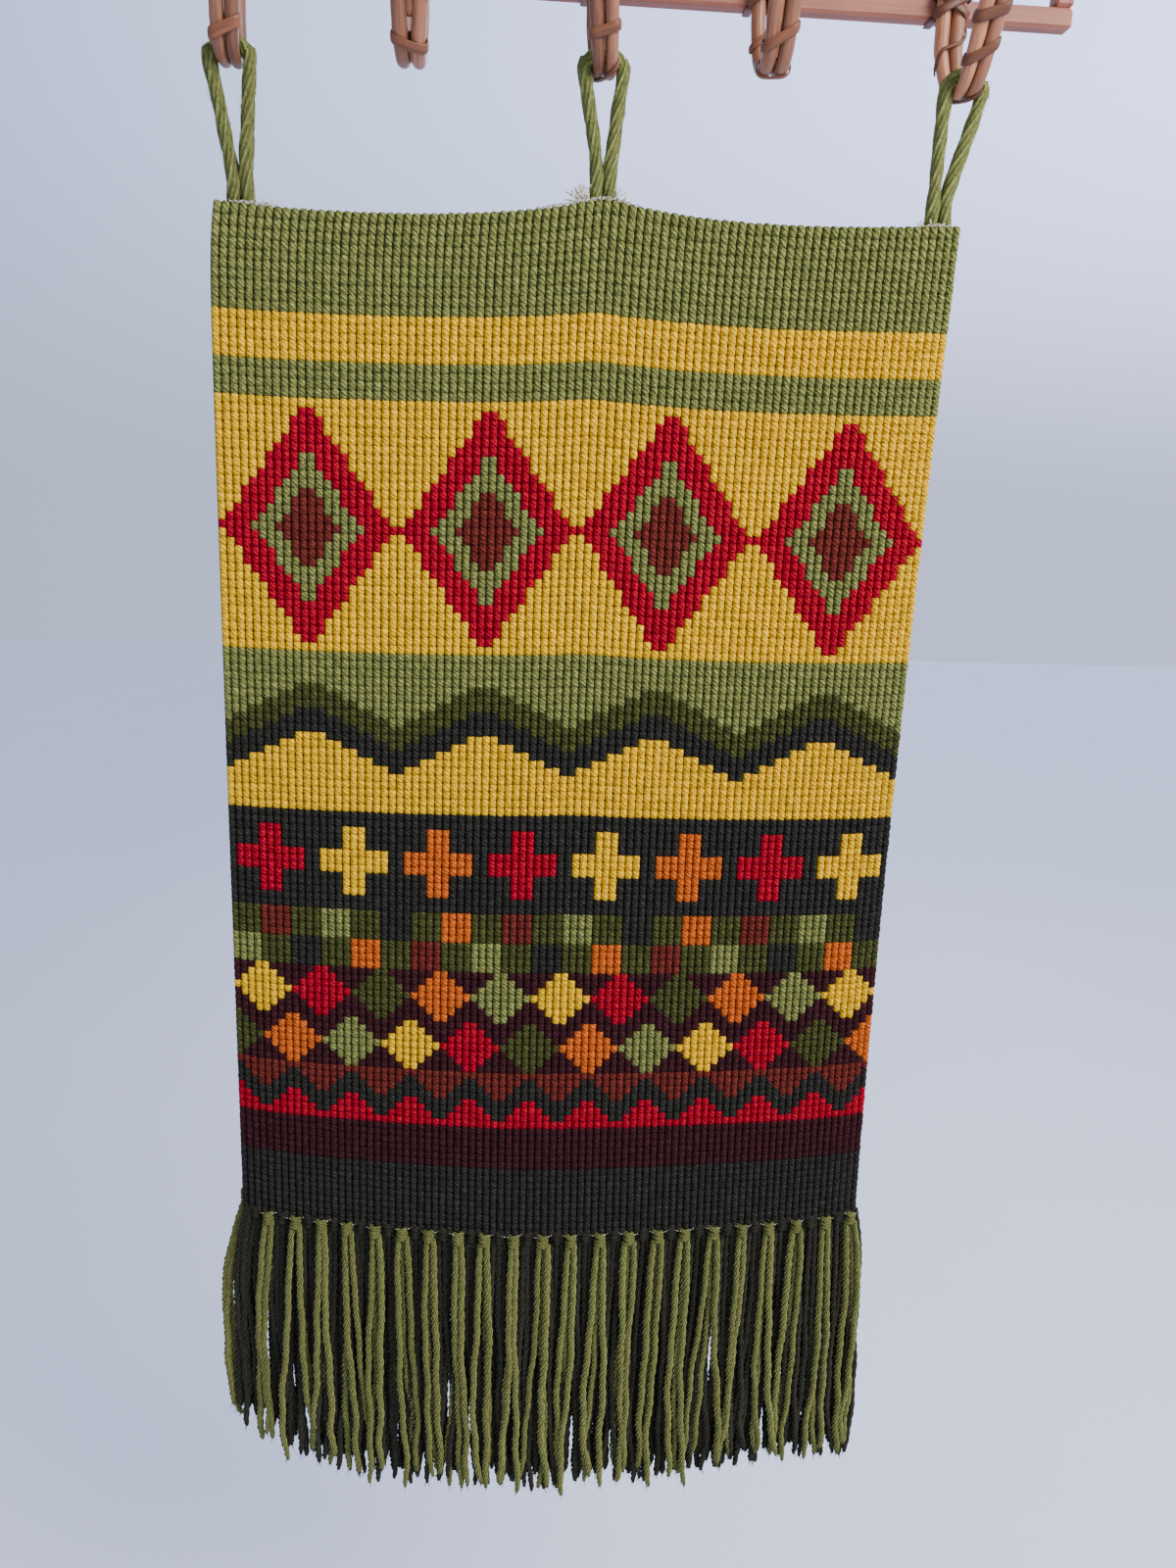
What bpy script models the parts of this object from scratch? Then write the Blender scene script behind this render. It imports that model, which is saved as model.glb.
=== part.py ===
"""A cross-stitched wool wall hanging with a yarn fringe, hung by three cord loops from a cane hook rack.

Metres, +Z up. The wall is the plane Y = 0 and the object stands at -Y. The origin is the middle of
the lower rail's back face, where the rack is fastened to the wall.
"""

import math
import random

import bmesh
import bpy
import numpy as np

# Rack of square sticks with five cane hooks
RAIL_LENGTH = 0.585
RAIL_SIDE = 0.012
RAIL_BEVEL = 0.0018
RACK_RISE = 0.105
TOUCH_GAP = 0.0003

# Each hook is two canes side by side, bent in a U that opens upwards
HOOKS = {
    # middle of the bend, height of the canes' middle there and their radius there,
    # side shift of the back leg, side shift of the front tip and how far its canes part
    "hook_1": (-0.2190, -0.0600, 0.0035, -0.0025, 0.0075, 0.0000),
    "hook_2": (-0.1145, -0.0535, 0.0045, 0.0005, 0.0020, 0.0045),
    "hook_3": (-0.0005, -0.0542, 0.0035, -0.0015, -0.0075, 0.0000),
    "hook_4": (0.1007, -0.0468, 0.0045, -0.0025, 0.0000, 0.0000),
    "hook_5": (0.2190, -0.0543, 0.0035, -0.0060, 0.0050, 0.0000),
}
BACK_CANE_RADIUS = 0.0046
TIP_CANE_RADIUS = 0.0049
CANE_PARTING = 0.0002
TIP_ROUNDING = 0.6
CANE_SIDES = 8
BEND_RADIUS = 0.018
FRONT_LEAN = math.radians(25)
FRONT_TIP_Z = 0.015
CANE_TOP_Z = RACK_RISE + 0.012
CANE_MIDDLE_Z = 0.035
CANE_EASE = 0.012
BEND_STEPS = 7
CANE_Y = -(RAIL_SIDE + TOUCH_GAP + BACK_CANE_RADIUS)
HANG_Y = CANE_Y - BEND_RADIUS

# Peel that binds the canes to the rails and holds the front legs together
PEEL_WIDTH = 0.007
PEEL_THICKNESS = 0.0012
WRAP_HEIGHT = 0.020
WRAP_CLEARANCE = 0.0008
FOOT_LENGTH = 0.006
FOOT_BEND = 0.0016

# Stitched panel: 88 stitches across and 127 rows down
PANEL_LEFT_X = -0.2368
PANEL_RIGHT_X = 0.2245
LEFT_SPREAD = 0.0020
LEFT_CORNER = {"drawn_in": 0.0035, "reach": 0.03}
RIGHT_DRAW = {"linear": 0.026, "square": -0.0175}
PANEL_TOP_Z = -0.1420
PANEL_DROP = 0.6725
PANEL_THICKNESS = 0.005
EDGE_ROUNDING = 0.0009
ROW_STRETCH = 0.047
SIDE_CELLS = 11
ROW_CELLS = 16

# The fold down the middle, as a share of the width at the top and how far it moves by the bottom
FOLD_TOP = 0.506
FOLD_SHIFT = -0.051
FOLD_SOFTNESS = 0.07
FOLD_POWER = 1.3
FOLD_DEPTH = {"top": 0.006, "linear": 0.004, "square": 0.018}
LEFT_BACK = 0.008
RIGHT_FORWARD = 0.006
LEFT_CURL = 0.009
RIGHT_CURL = 0.006
CURL_REACH = 0.018

# How far each loop pulls the top edge up; the pull dies away to both sides and down the sheet
TOP_PULLS = (
    # share of the width, height, reach as a share of the width
    (0.000, 0.0053, 0.100),
    (0.514, 0.0130, 0.115),
    (1.000, 0.0100, 0.210),
)
PULL_SOFTNESS = 0.012
PULL_FADE = {"near_share": 0.5, "near_reach": 0.04, "far_power": 1.2}

# Cord loops
CORD_RADIUS = 0.0034
CORD_LOBE = 0.00025
CORD_SIDES = 6
CORD_TURN = 0.020
CORD_STEP = 0.0034
ARCH_RADIUS = 0.0113
ROOT_SPREAD = 0.0044
MEET_HEIGHT = 0.024
MEET_SHARE = 0.4
ROOT_DEPTH = 0.022
LOOPS = {
    # hook it hangs on, middle of its root on the panel
    "loop_left": ("hook_1", -0.2175),
    "loop_middle": ("hook_3", 0.0010),
    "loop_right": ("hook_5", 0.2120),
}

# Fringe: strands in two rows, each row on a strip just under the panel
STRANDS_PER_TASSEL = 3
LIGHT_TASSELS = 23
DARK_TASSELS = 22
STRIP_HEIGHT = 0.006
STRIP_DEPTH = 0.0026
STRIP_CENTRE = 0.0018
STRAND_WIDTH_SHARE = 0.56
STRAND_SEGMENTS = 4
STRAND_SWAY = 0.0010
STRAND_WAVE = 4.5
STRAND_TAPER = 0.72
FRINGE_FLARE = 0.019
FLARE_END = 0.45
FRINGE_LENGTH = (
    # share of the width, length
    (0.00, 0.176),
    (0.10, 0.200),
    (0.25, 0.209),
    (0.50, 0.207),
    (0.72, 0.206),
    (0.90, 0.202),
    (1.00, 0.210),
)
LENGTH_SPREAD = 0.009

COLOURS = {
    # red, green, blue, roughness
    "panel_wool": (0.30, 0.30, 0.08, 0.95),
    "light_yarn": (0.24, 0.29, 0.07, 0.95),
    "dark_yarn": (0.03, 0.035, 0.025, 0.95),
    "loop_yarn": (0.24, 0.30, 0.07, 0.95),
    "rail_wood": (0.50, 0.28, 0.20, 0.55),
    "cane": (0.55, 0.31, 0.17, 0.50),
    "peel": (0.34, 0.17, 0.11, 0.55),
}


def clear_scene():
    for item in list(bpy.data.objects):
        bpy.data.objects.remove(item, do_unlink=True)


def material(name):
    """Principled material in one of the named colours."""
    found = bpy.data.materials.get(name)
    if found:
        return found
    made = bpy.data.materials.new(name)
    made.use_nodes = True
    shader = made.node_tree.nodes["Principled BSDF"]
    red, green, blue, roughness = COLOURS[name]
    shader.inputs["Base Color"].default_value = (red, green, blue, 1.0)
    shader.inputs["Roughness"].default_value = roughness
    shader.inputs["Metallic"].default_value = 0.0
    return made


def add_mesh(name, points, faces, material_name, smooth=True):
    """Object from points and faces, with its faces turned outwards."""
    mesh = bpy.data.meshes.new(name)
    mesh.from_pydata([tuple(map(float, point)) for point in points], [], faces)
    shell = bmesh.new()
    shell.from_mesh(mesh)
    bmesh.ops.recalc_face_normals(shell, faces=shell.faces)
    shell.to_mesh(mesh)
    shell.free()
    if smooth:
        mesh.shade_smooth()
    mesh.materials.append(material(material_name))
    made = bpy.data.objects.new(name, mesh)
    bpy.context.scene.collection.objects.link(made)
    return made


def blend_table(table, share):
    """Value at a share of the width: the table's rows, joined by half cosine waves."""
    for (start, low), (end, high) in zip(table, table[1:]):
        if share <= end:
            turn = (1 - math.cos(math.pi * (share - start) / (end - start))) / 2
            return low + (high - low) * turn
    return table[-1][1]


def fold_share(drop):
    return FOLD_TOP + FOLD_SHIFT * drop


def panel_forward(share, drop):
    """Distance of the sheet's middle from the hanging plane, towards the viewer."""
    fold = fold_share(drop)
    side = (share - fold) / (fold if share < fold else 1 - fold)
    rounded = math.hypot(side, FOLD_SOFTNESS) - FOLD_SOFTNESS
    peak = 1 - min(1, rounded / (math.hypot(1, FOLD_SOFTNESS) - FOLD_SOFTNESS)) ** FOLD_POWER
    depth = FOLD_DEPTH["top"] + FOLD_DEPTH["linear"] * drop + FOLD_DEPTH["square"] * drop**2
    width = PANEL_RIGHT_X - PANEL_LEFT_X
    left_curl = LEFT_CURL * drop**2 * math.exp(-share * width / CURL_REACH)
    right_curl = RIGHT_CURL * math.exp(-(1 - share) * width / CURL_REACH)
    skew = -LEFT_BACK + (LEFT_BACK + RIGHT_FORWARD) * share
    return skew + depth * peak - left_curl - right_curl


def panel_lift(share, drop):
    """Height that the loops' pull adds."""
    lift = 0
    for middle, height, reach in TOP_PULLS:
        away = math.hypot(share - middle, PULL_SOFTNESS) - PULL_SOFTNESS
        lift += height * math.exp(-away / reach)
    near = PULL_FADE["near_share"] * math.exp(-drop / PULL_FADE["near_reach"])
    far = (1 - PULL_FADE["near_share"]) * (1 - drop) ** PULL_FADE["far_power"]
    return lift * (near + far)


def panel_point(share, drop):
    """Point of the sheet's middle, at a share of the width and of the drop."""
    corner = LEFT_CORNER["drawn_in"] * math.exp(-drop / LEFT_CORNER["reach"])
    left = PANEL_LEFT_X - LEFT_SPREAD * drop + corner
    right = PANEL_RIGHT_X - RIGHT_DRAW["linear"] * drop - RIGHT_DRAW["square"] * drop**2
    fall = PANEL_DROP * (drop + ROW_STRETCH * drop * (1 - drop))
    z = PANEL_TOP_Z + panel_lift(share, drop) - fall
    return np.array([left + (right - left) * share, HANG_Y - panel_forward(share, drop), z])


def panel_share(column, row):
    """Share of the width at a grid column; the middle column stays on the fold."""
    fold = fold_share(row / ROW_CELLS)
    side = (column - SIDE_CELLS) / SIDE_CELLS
    return fold + side * (fold if side < 0 else 1 - fold)


def make_panel():
    """One sheet with its folds: front and back grids and a rounded rim between them."""
    columns = 2 * SIDE_CELLS + 1
    rows = ROW_CELLS + 1
    half = np.array([0, PANEL_THICKNESS / 2, 0])
    middle = [[panel_point(panel_share(c, r), r / ROW_CELLS) for c in range(columns)] for r in range(rows)]
    points = [point - half for line in middle for point in line]
    points += [point + half for line in middle for point in line]
    back = rows * columns
    faces = []
    for r in range(ROW_CELLS):
        for c in range(columns - 1):
            corner = r * columns + c
            cell = (corner, corner + columns, corner + columns + 1, corner + 1)
            faces.append(cell)
            faces.append(tuple(back + index for index in reversed(cell)))
    rim = [(0, c) for c in range(columns - 1)]
    rim += [(r, columns - 1) for r in range(rows - 1)]
    rim += [(rows - 1, c) for c in range(columns - 1, 0, -1)]
    rim += [(r, 0) for r in range(rows - 1, 0, -1)]
    first = len(points)
    for r, c in rim:
        out_x = (c == columns - 1) - (c == 0)
        out_z = (r == 0) - (r == rows - 1)
        points.append(middle[r][c] + EDGE_ROUNDING * np.array([out_x, 0, out_z]))
    for i, (r, c) in enumerate(rim):
        j = (i + 1) % len(rim)
        front_a = r * columns + c
        front_b = rim[j][0] * columns + rim[j][1]
        faces.append((front_a, front_b, first + j, first + i))
        faces.append((first + i, first + j, back + front_b, back + front_a))
    add_mesh("panel", points, faces, "panel_wool")


def strand_line(rng, root, share, length):
    """Middle line of one strand: it hangs down, flares out near the sides and sways a little."""
    flare = FRINGE_FLARE * (2 * share - 1) ** 5
    phase = rng.uniform(0, 2 * math.pi)
    line = []
    for i in range(1, STRAND_SEGMENTS + 1):
        fall = i / STRAND_SEGMENTS
        sway = STRAND_SWAY * fall * math.sin(phase + STRAND_WAVE * fall)
        spread = flare * math.sin(math.pi / 2 * min(1, fall / FLARE_END))
        line.append(root + np.array([spread + sway, 0, -length * fall]))
    return line


def make_fringe(name, tassels, forward, material_name, seed):
    """Strands of four sides that grow out of the lower face of a narrow strip."""
    rng = random.Random(seed)
    cells = tassels * STRANDS_PER_TASSEL
    sections = []
    for i in range(cells):
        for edge in (-STRAND_WIDTH_SHARE / 2, STRAND_WIDTH_SHARE / 2):
            sections.append((i + 0.5 + edge) / cells)
    points = []
    for share in sections:
        edge = panel_point(share, 1.0)
        for depth, height in ((-1, 0), (1, 0), (1, 1), (-1, 1)):
            y = edge[1] - forward + depth * STRIP_DEPTH / 2
            z = edge[2] - EDGE_ROUNDING - 2 * TOUCH_GAP - height * STRIP_HEIGHT
            points.append((edge[0], y, z))
    faces = [(3, 2, 1, 0)]
    last = 4 * (len(sections) - 1)
    faces.append((last, last + 1, last + 2, last + 3))
    for i in range(len(sections) - 1):
        a = 4 * i
        b = a + 4
        faces += [(a, a + 1, b + 1, b), (a + 1, a + 2, b + 2, b + 1), (a + 3, a, b, b + 3)]
        if i % 2:
            faces.append((a + 2, a + 3, b + 3, b + 2))
            continue
        ring = (a + 3, a + 2, b + 2, b + 3)
        corners = [np.array(points[index]) for index in ring]
        centre = sum(corners) / 4
        share = (sections[i] + sections[i + 1]) / 2
        uneven = rng.uniform(-LENGTH_SPREAD, LENGTH_SPREAD)
        length = blend_table(FRINGE_LENGTH, share) - STRIP_HEIGHT + uneven
        for k, middle in enumerate(strand_line(rng, centre, share, length)):
            size = 1 - (1 - STRAND_TAPER) * (k + 1) / STRAND_SEGMENTS
            start = len(points)
            level = np.array([1, 1, 0])
            points += [tuple(middle + (corner - centre) * level * size) for corner in corners]
            lower = tuple(range(start, start + 4))
            for m in range(4):
                n = (m + 1) % 4
                faces.append((ring[m], ring[n], lower[n], lower[m]))
            ring = lower
        faces.append(ring)
    add_mesh(name, points, faces, material_name, smooth=False)


def smooth_path(points, step):
    """Points at equal steps along a Catmull-Rom curve through the given points."""
    route = [2 * points[0] - points[1]] + list(points) + [2 * points[-1] - points[-2]]
    dense = []
    for a, b, c, d in zip(route, route[1:], route[2:], route[3:]):
        for i in range(24):
            t = i / 24
            square = (2 * a - 5 * b + 4 * c - d) * t**2
            cube = (3 * b - a - 3 * c + d) * t**3
            dense.append((2 * b + (c - a) * t + square + cube) / 2)
    dense.append(points[-1])
    dense = np.array(dense)
    along = np.concatenate([[0], np.cumsum(np.linalg.norm(np.diff(dense, axis=0), axis=1))])
    wanted = np.linspace(0, along[-1], max(3, round(along[-1] / step)) + 1)
    return np.stack([np.interp(wanted, along, dense[:, axis]) for axis in range(3)], axis=1), wanted


def tube(name, path, side_axis, radius_at, sides, material_name):
    """Closed tube along a path; radius_at(ring, angle) gives the distance of each point from the path."""
    tangents = np.gradient(path, axis=0)
    tangents /= np.linalg.norm(tangents, axis=1)[:, None]
    points = []
    faces = []
    for i, (centre, tangent) in enumerate(zip(path, tangents)):
        first = side_axis - tangent * np.dot(side_axis, tangent)
        first /= np.linalg.norm(first)
        second = np.cross(tangent, first)
        for k in range(sides):
            angle = 2 * math.pi * k / sides
            out = math.cos(angle) * first + math.sin(angle) * second
            points.append(centre + radius_at(i, angle) * out)
    for i in range(len(path) - 1):
        for k in range(sides):
            n = (k + 1) % sides
            faces.append((i * sides + k, i * sides + n, (i + 1) * sides + n, (i + 1) * sides + k))
    faces.append(tuple(reversed(range(sides))))
    faces.append(tuple(range((len(path) - 1) * sides, len(path) * sides)))
    add_mesh(name, points, faces, material_name)


def sheet_y(x, row):
    """Y of the sheet's middle at x on one row of its grid."""
    shares = [panel_share(column, row) for column in range(2 * SIDE_CELLS + 1)]
    line = np.array([panel_point(share, row / ROW_CELLS) for share in shares])
    return np.interp(x, line[:, 0], line[:, 1])


def loop_route(hook_x, low_z, low_radius, root_x):
    """The loop's route: up from behind the panel's top edge, over the hook's bend and down again."""
    share = (root_x - PANEL_LEFT_X) / (PANEL_RIGHT_X - PANEL_LEFT_X)
    edge = panel_point(share, 0.0)
    cord = CORD_RADIUS + CORD_LOBE
    reach = ROOT_SPREAD + cord
    back = max(sheet_y(root_x + side * reach, row) for side in (-1, 0, 1) for row in (0, 1))
    root_y = back + PANEL_THICKNESS / 2 + cord + TOUCH_GAP
    left_x = root_x - ROOT_SPREAD
    left_leg = [
        np.array([left_x, root_y, edge[2] - ROOT_DEPTH]),
        np.array([left_x, root_y, edge[2] + 0.002]),
        np.array([left_x, root_y + MEET_SHARE * (HANG_Y - root_y), edge[2] + MEET_HEIGHT]),
    ]
    right_leg = [point + np.array([2 * (root_x - point[0]), 0, 0]) for point in reversed(left_leg)]
    inside = ARCH_RADIUS - cord - TOUCH_GAP - low_radius
    arch_z = low_z - math.sqrt(inside**2 - (low_radius + CANE_PARTING) ** 2)
    arch = []
    for degrees in range(180, -1, -30):
        turn = math.radians(degrees)
        x = hook_x + ARCH_RADIUS * math.cos(turn)
        arch.append(np.array([x, HANG_Y, arch_z + ARCH_RADIUS * math.sin(turn)]))
    return left_leg + arch + right_leg


def make_loops():
    """Twisted cords: two lobes turn along each loop."""
    for name, (hook, root_x) in LOOPS.items():
        hook_x, low_z, low_radius = HOOKS[hook][:3]
        path, along = smooth_path(loop_route(hook_x, low_z, low_radius, root_x), CORD_STEP)

        def radius_at(ring, angle, along=along):
            return CORD_RADIUS + CORD_LOBE * math.cos(2 * (angle - 2 * math.pi * along[ring] / CORD_TURN))

        tube(name, path, np.array([0.0, 1.0, 0.0]), radius_at, CORD_SIDES, "loop_yarn")


def make_stick(name, size, centre):
    """Square stick with bevelled edges."""
    shell = bmesh.new()
    bmesh.ops.create_cube(shell, size=1)
    bmesh.ops.scale(shell, vec=size, verts=shell.verts)
    bmesh.ops.bevel(shell, geom=list(shell.edges), offset=RAIL_BEVEL, segments=1, affect="EDGES")
    bmesh.ops.translate(shell, vec=centre, verts=shell.verts)
    mesh = bpy.data.meshes.new(name)
    shell.to_mesh(mesh)
    shell.free()
    mesh.materials.append(material("rail_wood"))
    bpy.context.scene.collection.objects.link(bpy.data.objects.new(name, mesh))


def make_rack():
    """Two rails with an upright at each end, all with their backs on the wall's plane."""
    middle_y = -RAIL_SIDE / 2
    rail = (RAIL_LENGTH, RAIL_SIDE, RAIL_SIDE)
    make_stick("rail_lower", rail, (0, middle_y, 0))
    make_stick("rail_upper", rail, (0, middle_y, RACK_RISE))
    upright = (RAIL_SIDE, RAIL_SIDE, RACK_RISE - RAIL_SIDE - 2 * TOUCH_GAP)
    end_x = (RAIL_LENGTH - RAIL_SIDE) / 2
    make_stick("upright_left", upright, (-end_x, middle_y, RACK_RISE / 2))
    make_stick("upright_right", upright, (end_x, middle_y, RACK_RISE / 2))


def bend_point(low_z, turn):
    """Y and Z on a hook's bend, at an angle from its back end."""
    return HANG_Y + BEND_RADIUS * math.cos(turn), low_z + BEND_RADIUS * (1 - math.sin(turn))


def cane_route(low_z):
    """Y and Z along a hook: down the rails, round the bend and up the leaning front leg."""
    route = [(CANE_Y, CANE_TOP_Z), (CANE_Y, CANE_MIDDLE_Z), (CANE_Y, low_z + BEND_RADIUS + CANE_EASE)]
    full_turn = math.pi - FRONT_LEAN
    route += [bend_point(low_z, full_turn * i / BEND_STEPS) for i in range(BEND_STEPS + 1)]
    y, z = route[-1]
    reach = (FRONT_TIP_Z - z) / math.cos(FRONT_LEAN)
    for share in (0.5, 0.95, 1.0):
        along = reach * share
        route.append((y - along * math.sin(FRONT_LEAN), z + along * math.cos(FRONT_LEAN)))
    return route


def cane_section(hook, y, z):
    """Side shift, half the canes' parting and radius at a point of a hook's route."""
    x, low_z, low_radius, back_shift, tip_shift, tip_spread = HOOKS[hook]
    if y > HANG_Y:
        share = min(1, (z - low_z) / (BEND_RADIUS + CANE_EASE))
        return back_shift * share, 0.0, low_radius + (BACK_CANE_RADIUS - low_radius) * share
    share = min(1, (z - low_z) / (FRONT_TIP_Z - low_z))
    return tip_shift * share, tip_spread * share, low_radius + (TIP_CANE_RADIUS - low_radius) * share**0.5


def make_canes():
    for hook, (hook_x, low_z, *others) in HOOKS.items():
        route = cane_route(low_z)
        sections = [cane_section(hook, y, z) for y, z in route]
        radii = [radius for shift, spread, radius in sections]
        radii[-1] *= TIP_ROUNDING
        for side, sign in (("left", -1), ("right", 1)):
            path = []
            for (y, z), (shift, spread, radius) in zip(route, sections):
                path.append([hook_x + shift + sign * (radius + CANE_PARTING + spread), y, z])

            def radius_at(ring, angle, radii=radii):
                return radii[ring]

            first = np.array([1.0, 0.0, 0.0])
            tube(f"{hook}_cane_{side}", np.array(path), first, radius_at, CANE_SIDES, "cane")


def strap(name, line, normals, along, width, closed):
    """Flat strap: a line of points thickened along its normals and widened along one direction."""
    points = []
    faces = []
    for point, normal in zip(line, normals):
        for out, side in ((0, -1), (1, -1), (1, 1), (0, 1)):
            points.append(point + normal * PEEL_THICKNESS * out + along * width / 2 * side)
    count = len(line)
    for i in range(count if closed else count - 1):
        j = (i + 1) % count
        for k in range(4):
            n = (k + 1) % 4
            faces.append((4 * i + k, 4 * i + n, 4 * j + n, 4 * j + k))
    if not closed:
        faces.append((0, 1, 2, 3))
        faces.append((4 * count - 1, 4 * count - 2, 4 * count - 3, 4 * count - 4))
    add_mesh(name, points, faces, "peel")


def make_bindings():
    """Straps over the canes' fronts that hold them against the rails."""
    clear = BACK_CANE_RADIUS + TOUCH_GAP
    half = BACK_CANE_RADIUS + CANE_PARTING
    foot_y = -(RAIL_SIDE + TOUCH_GAP)
    line = [(-half - clear - FOOT_LENGTH, foot_y, -90), (-half - clear - FOOT_BEND, foot_y, -100)]
    for side, turns in ((-half, (-160, -135, -90)), (half, (-90, -45, -20))):
        for turn in turns:
            out = math.radians(turn)
            line.append((side + clear * math.cos(out), CANE_Y + clear * math.sin(out), turn))
    line += [(half + clear + FOOT_BEND, foot_y, -80), (half + clear + FOOT_LENGTH, foot_y, -90)]
    outs = [math.radians(turn) for x, y, turn in line]
    normals = [np.array([math.cos(out), math.sin(out), 0]) for out in outs]
    upwards = np.array([0.0, 0.0, 1.0])
    for hook, (hook_x, low_z, low_radius, back_shift, *others) in HOOKS.items():
        for place, z in (("lower", 0.0), ("upper", RACK_RISE)):
            points = [np.array([hook_x + back_shift + x, y, z]) for x, y, turn in line]
            strap(f"{hook}_binding_{place}", points, normals, upwards, PEEL_WIDTH, closed=False)


def make_wraps():
    """A turn of peel round both canes of each front leg."""
    for hook, (hook_x, low_z, *others) in HOOKS.items():
        y, z = bend_point(low_z, math.pi - FRONT_LEAN)
        low_shift = cane_section(hook, y, z)[0]
        y -= WRAP_HEIGHT * math.sin(FRONT_LEAN)
        z += WRAP_HEIGHT * math.cos(FRONT_LEAN)
        shift, spread, radius = cane_section(hook, y, z)
        along = np.array([(shift - low_shift) / WRAP_HEIGHT, -math.sin(FRONT_LEAN), math.cos(FRONT_LEAN)])
        along /= np.linalg.norm(along)
        outwards = np.array([1.0, 0, 0]) - along * along[0]
        outwards /= np.linalg.norm(outwards)
        across = np.cross(along, outwards)
        centre = np.array([hook_x + shift, y, z])
        clear = radius + WRAP_CLEARANCE
        half = radius + CANE_PARTING + spread
        points = []
        normals = []
        for sign, turns in ((1, (-90, -45, 0, 45, 90)), (-1, (90, 135, 180, 225, 270))):
            for turn in turns:
                out = math.radians(turn)
                normal = math.cos(out) * outwards + math.sin(out) * across
                points.append(centre + sign * half * outwards + clear * normal)
                normals.append(normal)
        strap(f"{hook}_wrap", points, normals, along, PEEL_WIDTH, closed=True)


def main():
    clear_scene()
    make_rack()
    make_canes()
    make_bindings()
    make_wraps()
    make_loops()
    make_panel()
    make_fringe("fringe_light", LIGHT_TASSELS, STRIP_CENTRE, "light_yarn", seed=11)
    make_fringe("fringe_dark", DARK_TASSELS, -STRIP_CENTRE, "dark_yarn", seed=23)


main()
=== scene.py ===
"""Looks of a cross-stitched wool wall hanging with a yarn fringe, hung by three cord loops from a cane hook rack.

Metres, +Z up, +Y into the wall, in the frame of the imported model. Every surface is worked out with numpy:
a function of two parameters on a grid, or an outline carried along a path.
"""

import math

import bpy
import numpy as np
from bpy.props import FloatProperty, FloatVectorProperty, IntProperty, PointerProperty
from mathutils import Matrix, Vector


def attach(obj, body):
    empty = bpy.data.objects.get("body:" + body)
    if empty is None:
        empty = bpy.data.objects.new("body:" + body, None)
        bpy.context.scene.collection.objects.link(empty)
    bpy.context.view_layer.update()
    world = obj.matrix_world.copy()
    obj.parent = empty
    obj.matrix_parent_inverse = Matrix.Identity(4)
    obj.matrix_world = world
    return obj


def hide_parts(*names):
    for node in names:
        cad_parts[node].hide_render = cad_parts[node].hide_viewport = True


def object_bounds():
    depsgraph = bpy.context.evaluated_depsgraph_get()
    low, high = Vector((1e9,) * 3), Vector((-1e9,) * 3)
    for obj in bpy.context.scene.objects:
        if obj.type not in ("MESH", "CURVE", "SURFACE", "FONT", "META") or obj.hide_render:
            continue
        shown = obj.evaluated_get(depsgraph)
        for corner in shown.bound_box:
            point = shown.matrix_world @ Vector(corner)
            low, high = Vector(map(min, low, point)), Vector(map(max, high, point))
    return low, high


bl_info = {
    "name": "Stitched wall hanging",
    "version": (1, 0, 0),
    "blender": (4, 5, 0),
    "location": "3D Viewport > Sidebar > Hanging",
    "description": "Builds a cross-stitched wool hanging with its fringe, cord loops and cane hooks",
    "category": "Add Mesh",
}

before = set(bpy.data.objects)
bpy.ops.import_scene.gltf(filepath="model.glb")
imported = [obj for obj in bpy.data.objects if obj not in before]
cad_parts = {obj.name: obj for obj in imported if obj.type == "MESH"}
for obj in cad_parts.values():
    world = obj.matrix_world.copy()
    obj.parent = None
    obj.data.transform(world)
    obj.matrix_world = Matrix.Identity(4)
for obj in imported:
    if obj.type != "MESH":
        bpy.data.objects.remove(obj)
CAD_LOW, CAD_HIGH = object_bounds()

# The sheet's place and folds, as in the part's source
RAIL_SIDE = 0.012
TOUCH_GAP = 0.0003
RACK_RISE = 0.105
BACK_CANE_RADIUS = 0.0046
TIP_CANE_RADIUS = 0.0049
CANE_PARTING = 0.0002
BEND_RADIUS = 0.018
FRONT_LEAN = math.radians(25)
FRONT_TIP_Z = 0.015
CANE_TOP_Z = RACK_RISE + 0.012
CANE_EASE = 0.012
CANE_Y = -(RAIL_SIDE + TOUCH_GAP + BACK_CANE_RADIUS)
HANG_Y = CANE_Y - BEND_RADIUS
HOOKS = {
    # middle of the bend, height of the canes' middle there and their radius there,
    # side shift of the back leg, side shift of the front tip and how far its canes part
    "hook_1": (-0.2190, -0.0600, 0.0035, -0.0025, 0.0075, 0.0000),
    "hook_2": (-0.1145, -0.0535, 0.0045, 0.0005, 0.0020, 0.0045),
    "hook_3": (-0.0005, -0.0542, 0.0035, -0.0015, -0.0075, 0.0000),
    "hook_4": (0.1007, -0.0468, 0.0045, -0.0025, 0.0000, 0.0000),
    "hook_5": (0.2190, -0.0543, 0.0035, -0.0060, 0.0050, 0.0000),
}
LEFT_X, RIGHT_X = -0.2368, 0.2245
LEFT_SPREAD = 0.0020
LEFT_CORNER = {"drawn_in": 0.0035, "reach": 0.03}
RIGHT_DRAW = {"linear": 0.026, "square": -0.0175}
TOP_Z = -0.1420
PANEL_DROP = 0.6725
PANEL_THICKNESS = 0.005
ROW_STRETCH = 0.047
FOLD_TOP, FOLD_SHIFT, FOLD_SOFTNESS, FOLD_POWER = 0.506, -0.051, 0.07, 1.3
FOLD_DEPTH = {"top": 0.006, "linear": 0.004, "square": 0.018}
LEFT_BACK, RIGHT_FORWARD = 0.008, 0.006
LEFT_CURL, RIGHT_CURL, CURL_REACH = 0.009, 0.006, 0.018
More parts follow.
